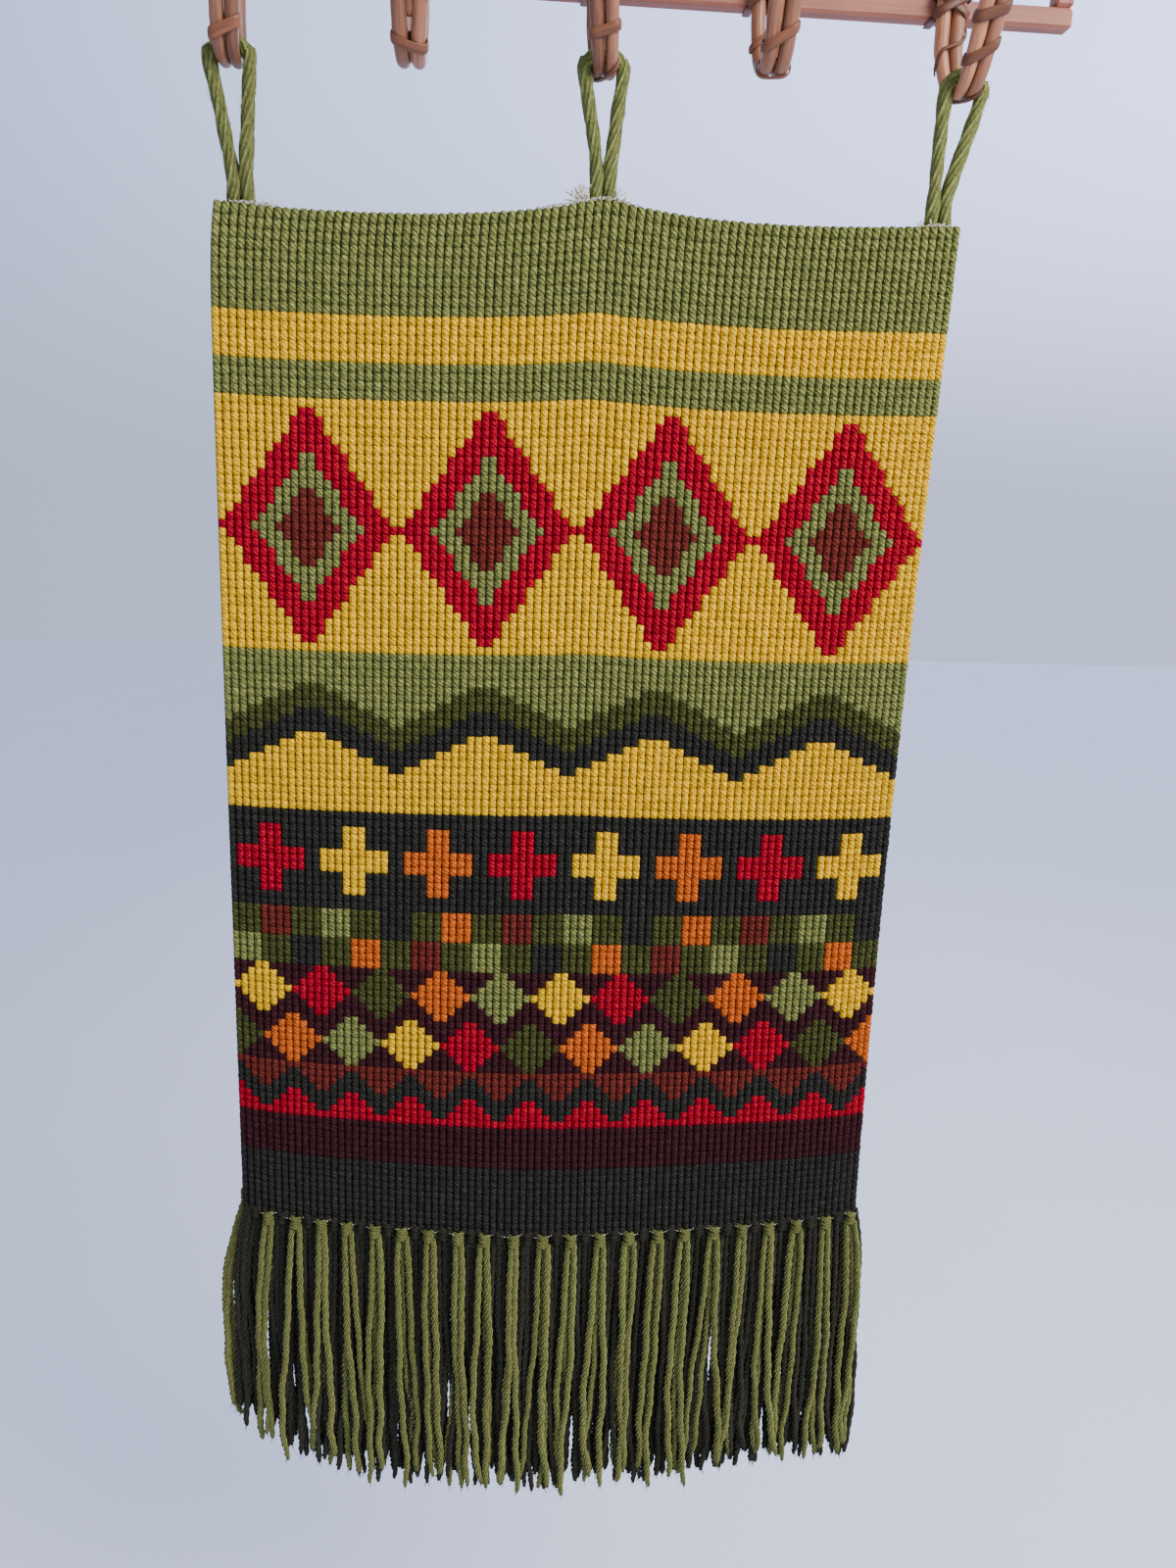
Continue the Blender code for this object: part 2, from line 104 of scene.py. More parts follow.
TOP_PULLS = (
    # share of the width, height, reach as a share of the width
    (0.000, 0.0053, 0.100),
    (0.514, 0.0130, 0.115),
    (1.000, 0.0100, 0.210),
)
PULL_SOFTNESS = 0.012
PULL_FADE = {"near_share": 0.5, "near_reach": 0.04, "far_power": 1.2}

# Loops, as in the part's source
ROUTE_CORD = 0.00365
ARCH_RADIUS = 0.0113
ROOT_SPREAD = 0.0044
MEET_HEIGHT = 0.024
MEET_SHARE = 0.4
ROOT_DEPTH = 0.022
LOOPS = {
    # hook it hangs on, middle of its root on the panel
    "loop_left": ("hook_1", -0.2175),
    "loop_middle": ("hook_3", 0.0010),
    "loop_right": ("hook_5", 0.2120),
}

# Fringe, as in the part's source
FLARE_END = 0.45
FRINGE_LENGTH = (
    # share of the width, length
    (0.00, 0.176),
    (0.10, 0.200),
    (0.25, 0.209),
    (0.50, 0.207),
    (0.72, 0.206),
    (0.90, 0.202),
    (1.00, 0.210),
)

YARNS = ("light", "yellow", "red", "orange", "mahogany", "plum", "forest", "dark")
LIGHT, YELLOW, RED, ORANGE, MAHOGANY, PLUM, FOREST, DARK = range(8)

# Each yarn in a stitch: painted shade down in the groove, as a share of its colour on top (red's, above one, is painted
# light that brightens its groove), and how far its strands differ in tone, which also sets the painted shade between
# its plies
YARN_SHADES = {
    "light": (0.74, 0.36),
    "yellow": (0.82, 0.22),
    "red": (1.30, 0.16),
    "orange": (1.00, 0.22),
    "mahogany": (1.00, 0.24),
    "plum": (0.90, 0.28),
    "forest": (0.78, 0.36),
    "dark": (0.88, 0.36),
}

# The chart, from the top: rows of stitches, pattern, ground yarn and the yarns of the motif
BANDS = (
    (10, "plain", LIGHT, ()),
    (5, "plain", YELLOW, ()),
    (4, "plain", LIGHT, ()),
    (29, "diamonds", YELLOW, (RED, LIGHT, MAHOGANY)),
    (4, "plain", LIGHT, ()),
    (13, "zigzag", LIGHT, (FOREST, DARK, YELLOW)),
    (3, "plain", YELLOW, ()),
    (13, "crosses", DARK, (RED, YELLOW, ORANGE)),
    (8, "checks", FOREST, (MAHOGANY, LIGHT, DARK, ORANGE)),
    (14, "lattice", PLUM, (YELLOW, RED, FOREST, ORANGE, LIGHT)),
    (8, "teeth", DARK, (MAHOGANY, RED)),
    (6, "plain", PLUM, ()),
    (10, "plain", DARK, ()),
)

# Tone of each hook's left cane, right cane and peel: the peel's own colour, and on the canes partly their own tone and
# partly painted light, as on the brightly lit left cane of hook_5
HOOK_TONES_AND_PAINTED_LIGHT = {
    "hook_1": (0.86, 0.70, 1.10),
    "hook_2": (0.75, 0.98, 0.80),
    "hook_3": (0.72, 1.10, 0.80),
    "hook_4": (0.95, 1.05, 0.85),
    "hook_5": (1.95, 1.05, 0.55),
}

# Turns of peel: hook, place along the cane from the bottom of the bend (front is positive), rise
# from left to right and width
PEEL_TURNS = (
    ("hook_1", 0.022, 0.009, 0.0062),
    ("hook_1", 0.062, -0.006, 0.0050),
    ("hook_2", 0.014, -0.004, 0.0058),
    ("hook_2", 0.044, -0.012, 0.0046),
    ("hook_2", 0.046, 0.012, 0.0046),
    ("hook_3", 0.027, 0.004, 0.0056),
    ("hook_3", 0.002, 0.017, 0.0036),
    ("hook_3", 0.060, 0.008, 0.0050),
    ("hook_4", 0.022, 0.012, 0.0054),
    ("hook_4", 0.001, 0.003, 0.0036),
    ("hook_4", -0.033, -0.012, 0.0040),
    ("hook_4", 0.060, -0.009, 0.0050),
    ("hook_5", 0.028, 0.012, 0.0056),
    ("hook_5", 0.048, 0.008, 0.0062),
    ("hook_5", 0.001, 0.013, 0.0040),
    ("hook_5", -0.041, -0.021, 0.0022),
)


# Sizes and colours that a user would change


def length(name, description, default):
    return FloatProperty(name=name, description=description, default=default, unit="LENGTH", precision=5)


def colour(name, description, default):
    return FloatVectorProperty(
        name=name, description=description, default=default, subtype="COLOR", size=3, min=0.0, max=1.0
    )


class StitchSizes(bpy.types.PropertyGroup):
    """Sizes of the cross stitches and their canvas."""

    columns: IntProperty(name="Columns", description="Stitches across the panel", default=88)
    rows: IntProperty(name="Rows", description="Stitches down the panel", default=127)
    rise: length("Rise", "Height of a stitch over the canvas", 0.0024)
    lean: FloatProperty(name="Lean", description="How far a stitch drops to the right, as a share", default=0.16)
    canvas_front: length("Canvas front", "Canvas in front of the sheet's middle", 0.0006)
    canvas_back: length("Canvas back", "Canvas behind the sheet's middle", 0.0014)
    hem: IntProperty(name="Hem", description="Width of the turned hem at the back, in stitches", default=5)
    hem_rise: length("Hem rise", "Extra thickness of the hem at the back", 0.0008)


class FringeSizes(bpy.types.PropertyGroup):
    """Sizes of the tassels and their yarn."""

    light_tassels: IntProperty(name="Light tassels", description="Tassels of light yarn", default=23)
    strand_radius: length("Strand radius", "Radius of one strand of yarn", 0.0027)
    ply_turn: length("Ply turn", "Length in which the yarn's plies turn once", 0.027)
    sway: length("Sway", "How far a strand strays to the side", 0.0032)
    flare_left: length("Flare at left", "How far the leftmost tassels swing outwards", 0.0165)
    flare_right: length("Flare at right", "How far the rightmost tassels swing outwards", 0.0095)
    uneven: length("Uneven", "How much the strands' lengths differ", 0.010)
    knot_width: length("Knot width", "Width of the knot at a tassel's head", 0.0086)


class CordSizes(bpy.types.PropertyGroup):
    """Sizes of the hanging loops."""

    radius: length("Radius", "Radius of the twisted cord", 0.0044)
    ply_turn: length("Ply turn", "Length in which the cord's yarns turn once", 0.072)
    yarns: IntProperty(name="Yarns", description="Yarns that lie side by side in the cord", default=4)


class YarnColours(bpy.types.PropertyGroup):
    """Colours of the wool, canvas and sewing thread."""

    light: colour("Light green", "Light green wool", (0.188, 0.199, 0.052))
    yellow: colour("Yellow", "Warm yellow wool", (0.760, 0.425, 0.007))
    red: colour("Red", "Red wool", (0.316, 0.0022, 0.0150))
    orange: colour("Orange", "Orange wool", (0.525, 0.101, 0.0115))
    mahogany: colour("Mahogany", "Red-brown wool", (0.124, 0.0200, 0.0145))
    plum: colour("Plum", "Very dark plum wool", (0.040, 0.0105, 0.0125))
    forest: colour("Forest green", "Mid green wool", (0.059, 0.062, 0.0165))
    dark: colour("Dark green", "Near black green wool", (0.0255, 0.0240, 0.0190))
    fringe_light: colour("Light fringe", "Light green fringe yarn", (0.215, 0.222, 0.064))
    fringe_dark: colour("Dark fringe", "Near black green fringe yarn", (0.044, 0.042, 0.028))
    cord: colour("Cord", "Green cord of the loops", (0.168, 0.180, 0.052))
    canvas: colour("Canvas", "Cotton canvas of the hem", (0.520, 0.430, 0.280))
    thread: colour("Thread", "Cream sewing thread", (0.720, 0.660, 0.520))


class RackColours(bpy.types.PropertyGroup):
    """Colours of the rack."""

    rail: colour("Rail", "Pinkish tan stick", (0.370, 0.130, 0.078))
    cane: colour("Cane", "Peeled cane", (0.320, 0.128, 0.062))
    cane_streak: colour("Cane streak", "Darker streaks along the cane", (0.100, 0.036, 0.018))
    peel: colour("Peel", "Flat peel that binds the canes", (0.250, 0.086, 0.036))


class StageSettings(bpy.types.PropertyGroup):
    """Light, floor and surroundings."""

    behind: colour("Behind", "Surroundings behind the hanging", (0.560, 0.650, 1.000))
    behind_strength: FloatProperty(name="Light behind", description="Strength of that half", default=2.1)
    horizon: colour("Horizon", "Surroundings at the horizon", (0.620, 0.700, 1.000))
    horizon_strength: FloatProperty(name="Horizon light", description="Strength at the horizon", default=1.04)
    front: colour("In front", "Surroundings in front of the hanging", (0.700, 0.760, 0.950))
    front_strength: FloatProperty(name="Light in front", description="Strength of that half", default=0.98)
    side_light: FloatProperty(name="Side light", description="How much brighter the right side is", default=0.60)
    floor: colour("Floor", "Pale floor", (0.780, 0.800, 0.880))
    floor_drop: length("Floor drop", "Floor below the lowest strand", 0.42)
    key_power: FloatProperty(name="Key light", description="Power of the key light in watts", default=46.0)
    fill_power: FloatProperty(name="Fill light", description="Power of the fill light in watts", default=4.0)
    back_power: FloatProperty(name="Back light", description="Power of the back light in watts", default=12.0)


# Surfaces and paths


def unit(vectors):
    return vectors / np.maximum(np.linalg.norm(vectors, axis=-1, keepdims=True), 1e-12)


def blend_table(table, share):
    """Value at each share: the table's rows joined by half cosine waves."""
    shares, values = np.array(table).T
    cell = np.clip(np.searchsorted(shares, share) - 1, 0, len(shares) - 2)
    part = np.clip((share - shares[cell]) / (shares[cell + 1] - shares[cell]), 0, 1)
    return values[cell] + (values[cell + 1] - values[cell]) * (1 - np.cos(math.pi * part)) / 2


def sheet_forward(share, drop):
    """Distance of the sheet from the hanging plane: a skew from left to right, a rounded ridge at the
    fold that deepens with the square of the drop, less an exponential curl at each side edge."""
    fold = FOLD_TOP + FOLD_SHIFT * drop
    side = (share - fold) / np.where(share < fold, fold, 1 - fold)
    rounded = np.hypot(side, FOLD_SOFTNESS) - FOLD_SOFTNESS
    peak = 1 - np.minimum(1, rounded / (math.hypot(1, FOLD_SOFTNESS) - FOLD_SOFTNESS)) ** FOLD_POWER
    depth = FOLD_DEPTH["top"] + FOLD_DEPTH["linear"] * drop + FOLD_DEPTH["square"] * drop**2
    width = RIGHT_X - LEFT_X
    left_curl = LEFT_CURL * drop**2 * np.exp(-share * width / CURL_REACH)
    right_curl = RIGHT_CURL * np.exp(-(1 - share) * width / CURL_REACH)
    return -LEFT_BACK + (LEFT_BACK + RIGHT_FORWARD) * share + depth * peak - left_curl - right_curl


def sheet_lift(share, drop):
    """Height that the loops' pull adds: one exponential peak for each loop, fading down the sheet."""
    lift = 0
    for middle, height, reach in TOP_PULLS:
        lift = lift + height * np.exp(-(np.hypot(share - middle, PULL_SOFTNESS) - PULL_SOFTNESS) / reach)
    near = PULL_FADE["near_share"] * np.exp(-drop / PULL_FADE["near_reach"])
    far = (1 - PULL_FADE["near_share"]) * np.clip(1 - drop, 0, None) ** PULL_FADE["far_power"]
    return lift * (near + far)


def sheet_point(share, drop):
    """Middle of the sheet at a share of its width and of its drop: x runs between the two side edges,
    y is the hanging plane less the forward distance, z falls with the drop and rises with the pull."""
    left = LEFT_X - LEFT_SPREAD * drop + LEFT_CORNER["drawn_in"] * np.exp(-drop / LEFT_CORNER["reach"])
    right = RIGHT_X - RIGHT_DRAW["linear"] * drop - RIGHT_DRAW["square"] * drop**2
    fall = PANEL_DROP * (drop + ROW_STRETCH * drop * (1 - drop))
    x = left + (right - left) * share
    y = HANG_Y - sheet_forward(share, drop)
    return np.stack(np.broadcast_arrays(x, y, TOP_Z + sheet_lift(share, drop) - fall), axis=-1)


def sheet_frame(share, drop):
    """Point, direction across, direction down and front normal, from small steps to each side."""
    step = 1e-3
    across = unit(sheet_point(share + step, drop) - sheet_point(share - step, drop))
    down = unit(sheet_point(share, drop + step) - sheet_point(share, drop - step))
    return sheet_point(share, drop), across, down, unit(np.cross(down, across))


def smooth_path(points, step):
    """Points at equal steps along a Catmull-Rom curve through the given points."""
    points = [np.array(point, float) for point in points]
    route = [2 * points[0] - points[1]] + points + [2 * points[-1] - points[-2]]
    t = np.arange(24)[:, None] / 24
    dense = []
    for a, b, c, d in zip(route, route[1:], route[2:], route[3:]):
        square = (2 * a - 5 * b + 4 * c - d) * t**2
        cube = (3 * b - a - 3 * c + d) * t**3
        dense.append((2 * b + (c - a) * t + square + cube) / 2)
    dense = np.concatenate(dense + [points[-1][None]])
    along = np.concatenate([[0], np.cumsum(np.linalg.norm(np.diff(dense, axis=0), axis=1))])
    wanted = np.linspace(0, along[-1], max(3, round(along[-1] / step)) + 1)
    return np.stack([np.interp(wanted, along, dense[:, axis]) for axis in range(3)], axis=1), wanted


def tube_faces(tubes, rings, corners, closed=False):
    """Corner indices of the faces of many tubes: quads round each band, and a cap at each open end."""
    index = np.arange(tubes * rings * corners).reshape(tubes, rings, corners)
    lower = index if closed else index[:, :-1]
    upper = np.roll(index, -1, axis=1) if closed else index[:, 1:]
    quads = np.stack([lower, np.roll(lower, -1, 2), np.roll(upper, -1, 2), upper], axis=-1).reshape(-1, 4)
    if closed:
        return [quads]
    return [quads, index[:, 0, ::-1], index[:, -1]]


def tube_uv(around, along, closed=False):
    """UV of each face corner of tube_faces: around is the distance round the outline with one value
    more than it has corners, along the distance down the path; both have tubes, rings and corners."""
    lower = slice(None) if closed else slice(None, -1)
    upper_along = np.roll(along, -1, axis=1) if closed else along[:, 1:]
    low_a, low_b = around[:, lower, :-1], around[:, lower, 1:]
    size = low_a.shape
    low_v = np.broadcast_to(along[:, lower], size)
    high_v = np.broadcast_to(upper_along, size)
    quads = np.stack(
        [np.stack([low_a, low_v], -1), np.stack([low_b, low_v], -1),
         np.stack([low_b, high_v], -1), np.stack([low_a, high_v], -1)], axis=-2
    ).reshape(-1, 2)
    if closed:
        return quads
    count = around.shape[2] - 1
    first = np.stack([around[:, 0, count - 1 :: -1], np.repeat(along[:, 0], count, 1)], -1).reshape(-1, 2)
    last = np.stack([around[:, -1, :-1], np.repeat(along[:, -1], count, 1)], -1).reshape(-1, 2)
    return np.concatenate([quads, first, last])


def yarn_tubes(paths, side, radii, plies, turn, groove, corners, girth, phase=0.0):
    """Twisted yarn along each path. The outline is a circle of the given radius, drawn in between the
    plies by the groove's share, and turns once in each turn's length. paths is tubes, rings, 3, and
    girth the millimetres that the UV counts round the yarn."""
    tangents = unit(np.gradient(paths, axis=1))
    first = unit(side - tangents * (tangents @ side)[..., None])
    second = np.cross(tangents, first)
    steps = np.linalg.norm(np.diff(paths, axis=1), axis=2)
    along = np.concatenate([np.zeros((len(paths), 1)), np.cumsum(steps, axis=1)], axis=1)[..., None]
    round_share = np.arange(corners) / corners
    angle = 2 * math.pi * (round_share + along / turn) + phase
    outline = 1 - groove * (1 - np.cos(2 * math.pi * plies * round_share)) / 2
    out = radii[..., None] * outline
    points = paths[:, :, None] + out[..., None] * (
        np.cos(angle)[..., None] * first[:, :, None] + np.sin(angle)[..., None] * second[:, :, None]
    )
    around = girth * np.arange(corners + 1) / corners
    around = np.broadcast_to(around, (*paths.shape[:2], corners + 1))
    uv = tube_uv(around, along * 1000)
    # height of the plies over the groove, which the wool turns into painted shade: 0 down in the groove
    ridge = np.broadcast_to((outline - outline.min()) / max(np.ptp(outline), 1e-9), points.shape[:3])
    return points, uv, ridge


# Meshes and materials


def add_piece(name, points, faces, material, uv=None, values=None, face_colours=None, smooth=True):
    """Mesh object at the origin, from arrays of points and of faces; values are one number a point."""
    mesh = bpy.data.meshes.new(name)
    points = np.ascontiguousarray(points, np.float32).reshape(-1, 3)
    corners = np.concatenate([group.ravel() for group in faces]).astype(np.int32)
    sizes = np.concatenate([np.full(len(group), group.shape[1]) for group in faces])
    starts = np.concatenate([[0], np.cumsum(sizes)[:-1]]).astype(np.int32)
    mesh.vertices.add(len(points))
    mesh.vertices.foreach_set("co", points.ravel())
    mesh.loops.add(len(corners))
    mesh.loops.foreach_set("vertex_index", corners)
    mesh.polygons.add(len(sizes))
    mesh.polygons.foreach_set("loop_start", starts)
    if uv is not None:
        layer = mesh.uv_layers.new(name="Yarn")
        layer.uv.foreach_set("vector", np.ascontiguousarray(uv, np.float32).ravel())
    for key, numbers in (values or {}).items():
        attribute = mesh.attributes.new(key, "FLOAT", "POINT")
        attribute.data.foreach_set("value", np.ascontiguousarray(numbers, np.float32).ravel())
    if face_colours is not None:
        attribute = mesh.attributes.new("stitch", "FLOAT_COLOR", "FACE")
        attribute.data.foreach_set("color", np.ascontiguousarray(face_colours, np.float32).ravel())
    mesh.update(calc_edges=True)
    mesh.polygons.foreach_set("use_smooth", np.full(len(sizes), smooth))
    mesh.materials.append(material)
    made = bpy.data.objects.new(name, mesh)
    bpy.context.scene.collection.objects.link(made)
    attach(made, "root")
    return made


class Surface:
    """A Principled material and the nodes that lead to it."""

    def __init__(self, name, roughness, sheen=0.0, coat=0.0):
        self.material = bpy.data.materials.new(name)
        self.material.use_nodes = True
        self.tree = self.material.node_tree
        self.shader = self.tree.nodes["Principled BSDF"]
        self.shader.inputs["Roughness"].default_value = roughness
        self.shader.inputs["Sheen Weight"].default_value = sheen
        self.shader.inputs["Sheen Roughness"].default_value = 0.45
        self.shader.inputs["Coat Weight"].default_value = coat
        self.shader.inputs["Specular IOR Level"].default_value = 0.05 if sheen else 0.3

    def node(self, kind, links=None, **settings):
        """New node; links sets its inputs from other outputs or plain values."""
        made = self.tree.nodes.new(kind)
        for key, value in settings.items():
            setattr(made, key, value)
        for key, value in (links or {}).items():
            if isinstance(value, bpy.types.NodeSocket):
                self.tree.links.new(value, made.inputs[key])
            else:
                made.inputs[key].default_value = value
        return made

    def yarn_coordinates(self, turn, stretch):
        """UV in millimetres, turned by an angle and shrunk along the fibres."""
        uv = self.node("ShaderNodeUVMap", uv_map="Yarn")
        return self.node(
            "ShaderNodeMapping",
            {"Vector": uv.outputs[0], "Rotation": (0, 0, turn), "Scale": (1.0, 1.0 / stretch, 1.0)},
            vector_type="TEXTURE",
        ).outputs[0]

    def noise(self, vector, scale, detail=3.0, roughness=0.6):
        links = {"Vector": vector, "Scale": scale, "Detail": detail, "Roughness": roughness}
        return self.node("ShaderNodeTexNoise", links).outputs["Fac"]

    def ramp(self, factor, low, high, from_low=0.3, from_high=0.7):
        """Maps a factor between two numbers onto two other numbers."""
        links = {0: factor, 1: from_low, 2: from_high, 3: low, 4: high}
        return self.node("ShaderNodeMapRange", links).outputs[0]

    def times(self, first, second, operation="MULTIPLY"):
        return self.node("ShaderNodeMath", {0: first, 1: second}, operation=operation).outputs[0]

    def attribute(self, name, output="Fac"):
        return self.node("ShaderNodeAttribute", attribute_name=name).outputs[output]

    def shaded(self, base, factor):
        """Colour times a grey factor."""
        grey = self.node("ShaderNodeCombineColor", {0: factor, 1: factor, 2: factor}).outputs[0]
        mix = self.node("ShaderNodeMix", {0: 1.0, 6: base, 7: grey}, data_type="RGBA", blend_type="MULTIPLY")
        return mix.outputs[2]

    def mixed(self, factor, first, second):
        mix = self.node("ShaderNodeMix", {0: factor, 6: first, 7: second}, data_type="RGBA")
        return mix.outputs[2]

    def finish(self, base, height, distance, strength=1.0):
        self.tree.links.new(base, self.shader.inputs["Base Color"])
        bump = self.node("ShaderNodeBump", {"Height": height, "Distance": distance, "Strength": strength})
        self.tree.links.new(bump.outputs[0], self.shader.inputs["Normal"])
        return self.material


def rgba(value):
    return (*value, 1.0)


def wool(name, base, twist=0.6, low_shade=0.62, ridges=0.0, ridge_shade=0.6, slant=0.0, depth=0.32):
    """Wool yarn: fine fibres along the yarn, soft patches of tone, and painted shade down between the ridges. The
    ridges are the yarn's plies, as a cosine wave across the UV with that many waves in a millimetre,
    turned and made uneven where the yarn is slanted. The rise attribute paints shade low on the yarn,
    down to low_shade at its foot; a low_shade above one is painted light."""
    surface = Surface(name, roughness=0.9, sheen=0.14)
    surface.shader.inputs["Sheen Tint"].default_value = rgba(np.clip(np.array(base) * 1.6 + 0.02, 0, 1))
    fibres = surface.noise(surface.yarn_coordinates(twist, 0.16), scale=2.0, detail=4.0)
    strands = surface.noise(surface.yarn_coordinates(twist, 0.14), scale=0.9, detail=2.0)
    patches = surface.noise(surface.yarn_coordinates(0.0, 1.0), scale=0.45, detail=2.0)
    shade = surface.times(surface.ramp(fibres, 0.56, 1.50), surface.ramp(strands, 1 - depth, 1 + depth))
    shade = surface.times(shade, surface.ramp(patches, 0.78, 1.20))
    height = surface.times(fibres, strands, "ADD")
    if ridges:
        across = surface.node("ShaderNodeSeparateXYZ", {0: surface.yarn_coordinates(slant, 1.0)}).outputs[0]
        wave = surface.times(across, 2 * math.pi * ridges)
        if slant:
            wave = surface.times(wave, surface.times(patches, 7.0), "ADD")
        wave = surface.node("ShaderNodeMath", {0: wave}, operation="COSINE").outputs[0]
        # painted shade down between the plies, in the wave's troughs
        shade = surface.times(shade, surface.ramp(wave, ridge_shade, 1.18, -1.0, 0.5))
        height = surface.times(height, surface.times(wave, 1.2), "ADD")
    # tone attribute: each tube's own tone, which on the stitches also carries painted light
    shade = surface.times(shade, surface.attribute("tone"))
    # rise attribute: painted shade, darker low on the yarn and down in its grooves
    shade = surface.times(shade, surface.ramp(surface.attribute("rise"), low_shade, 1.0, 0.0, 0.85))
    return surface.finish(surface.shaded(rgba(base), shade), height, 0.00045, 0.9)


def canvas_back(name):
    """Backs of the stitches: two upright bars of wool in each cell, in the cell's own colour, with painted shade
    between the bars and where the rows meet.
    """
    surface = Surface(name, roughness=0.9, sheen=0.2)
    uv = surface.node("ShaderNodeUVMap", uv_map="Yarn").outputs[0]
    parts = surface.node("ShaderNodeSeparateXYZ", {0: uv})
    bars = surface.times(parts.outputs[0], 4 * math.pi)
    bars = surface.node("ShaderNodeMath", {0: bars}, operation="COSINE").outputs[0]
    rows = surface.times(parts.outputs[1], 2 * math.pi)
    rows = surface.node("ShaderNodeMath", {0: rows}, operation="COSINE").outputs[0]
    bars = surface.ramp(bars, 1.0, 0.0, -1.0, 1.0)
    rows = surface.ramp(rows, 1.0, 0.35, 0.3, 1.0)
    fibres = surface.noise(uv, scale=9.0, detail=4.0)
    height = surface.times(bars, rows)
    shade = surface.times(surface.ramp(height, 0.35, 1.0, 0.0, 0.9), surface.ramp(fibres, 0.75, 1.2))
    base = surface.attribute("stitch", "Color")
    total = surface.times(height, surface.times(fibres, 0.4), "ADD")
    return surface.finish(surface.shaded(base, shade), total, 0.0007)


def bare_canvas(name, base):
    """Cotton canvas: a square weave of round threads, about eight threads to a stitch, with painted shade where the
    weave dips.
    """
    surface = Surface(name, roughness=0.9, sheen=0.1)
    uv = surface.node("ShaderNodeUVMap", uv_map="Yarn").outputs[0]
    parts = surface.node("ShaderNodeSeparateXYZ", {0: uv})
    waves = []
    for output in (0, 1):
        wave = surface.times(parts.outputs[output], 8 * math.pi)
        waves.append(surface.node("ShaderNodeMath", {0: wave}, operation="SINE").outputs[0])
    height = surface.ramp(surface.times(waves[0], waves[1]), 0.0, 1.0, -1.0, 1.0)
    fibres = surface.noise(uv, scale=14.0, detail=4.0)
    shade = surface.times(surface.ramp(height, 0.72, 1.0, 0.0, 1.0), surface.ramp(fibres, 0.82, 1.14))
    return surface.finish(surface.shaded(rgba(base), shade), height, 0.0004)


def grain_material(name, base, streak, axis, gloss=0.55):
    """Wood or cane on Object coordinates: streaks stretched along one axis, and faint pores."""
    surface = Surface(name, roughness=gloss, coat=0.03)
    coordinates = surface.node("ShaderNodeTexCoord").outputs["Object"]
    scale = [60.0, 60.0, 60.0]
    scale[axis] = 2.5
    mapped = surface.node("ShaderNodeMapping", {"Vector": coordinates, "Scale": scale}).outputs[0]
    streaks = surface.noise(mapped, scale=4.0, detail=6.0, roughness=0.65)
    patches = surface.noise(coordinates, scale=35.0, detail=2.0)
    pores = surface.noise(mapped, scale=18.0, detail=3.0)
    mixed = surface.mixed(surface.ramp(streaks, 0.0, 1.0, 0.42, 0.72), rgba(base), rgba(streak))
    shade = surface.times(surface.ramp(patches, 0.90, 1.08), surface.ramp(pores, 0.93, 1.05))
    return surface.finish(surface.shaded(mixed, shade), surface.times(streaks, pores, "ADD"), 0.0002, 0.6)


def cane_material(name, base, streak, gloss=0.38):
    """Peeled cane or flat peel on the piece's UV: long streaks down the cane and dark pits, painted shade from the rise
    attribute where canes meet and under the peel's edges, and each piece's tone, on the canes partly painted light.
    """
    surface = Surface(name, roughness=gloss, coat=0.06)
    long_streaks = surface.noise(surface.yarn_coordinates(0.0, 0.03), scale=0.9, detail=5.0, roughness=0.6)
    fine = surface.noise(surface.yarn_coordinates(0.0, 0.06), scale=4.5, detail=3.0)
    patches = surface.noise(surface.yarn_coordinates(0.0, 0.5), scale=0.07, detail=2.0)
    mixed = surface.mixed(surface.ramp(long_streaks, 0.0, 1.0, 0.46, 0.74), rgba(base), rgba(streak))
    shade = surface.times(surface.ramp(patches, 0.84, 1.14), surface.ramp(fine, 0.88, 1.08))
    shade = surface.times(shade, surface.ramp(surface.attribute("rise"), 0.45, 1.0, 0.0, 0.9))
    shade = surface.times(shade, surface.attribute("tone"))
    height = surface.times(long_streaks, surface.times(fine, 0.5), "ADD")
    return surface.finish(surface.shaded(mixed, shade), height, 0.0003, 0.7)


# The chart: each pattern gives the yarn's number from the column x and the row y in its band


def chart_plain(x, y, rows, ground, yarns):
    """One yarn all over."""
    return np.full(x.shape, ground)


def chart_diamonds(x, y, rows, ground, yarns):
    """Nested stepped diamonds: the yarn changes with |u| / half width + |v| / half height."""
    period = 22
    u = x % period - (period - 1) / 2
    v = y - (rows - 1) / 2
    size = np.abs(u) / (period / 2) + np.abs(v) / (rows / 2)
    made = np.full(x.shape, ground)
    for yarn, reach in zip(yarns, (0.97, 0.60, 0.36)):
        made = np.where(size < reach, yarn, made)
    return made


def chart_zigzag(x, y, rows, ground, yarns):
    """Stripes that follow a triangle wave, three rows thick each."""
    period = 22
    wave = np.abs((x + 0.5) % period - period / 2) * 0.5
    depth = np.floor(y - wave + 1)
    made = np.where(depth < 0, ground, yarns[-1])
    for number, yarn in enumerate(yarns[:-1]):
        made = np.where((depth >= 3 * number) & (depth < 3 * number + 3), yarn, made)
    return made


def chart_crosses(x, y, rows, ground, yarns):
    """Square crosses, one in each eleven columns."""
    period = 11
    u = np.abs(x % period - (period - 1) / 2)
    v = np.abs(y - (rows - 1) / 2)
    cross = ((u < 1.5) & (v < 4.5)) | ((v < 1.5) & (u < 4.5))
    return np.where(cross, np.array(yarns)[(x // period) % len(yarns)], ground)


def chart_checks(x, y, rows, ground, yarns):
    """Checks of four by four stitches, every other one in the ground yarn."""
    check = x // 4 + y // 4
    return np.where(check % 2 == 0, ground, np.array(yarns)[(x // 8 + y // 4) % len(yarns)])


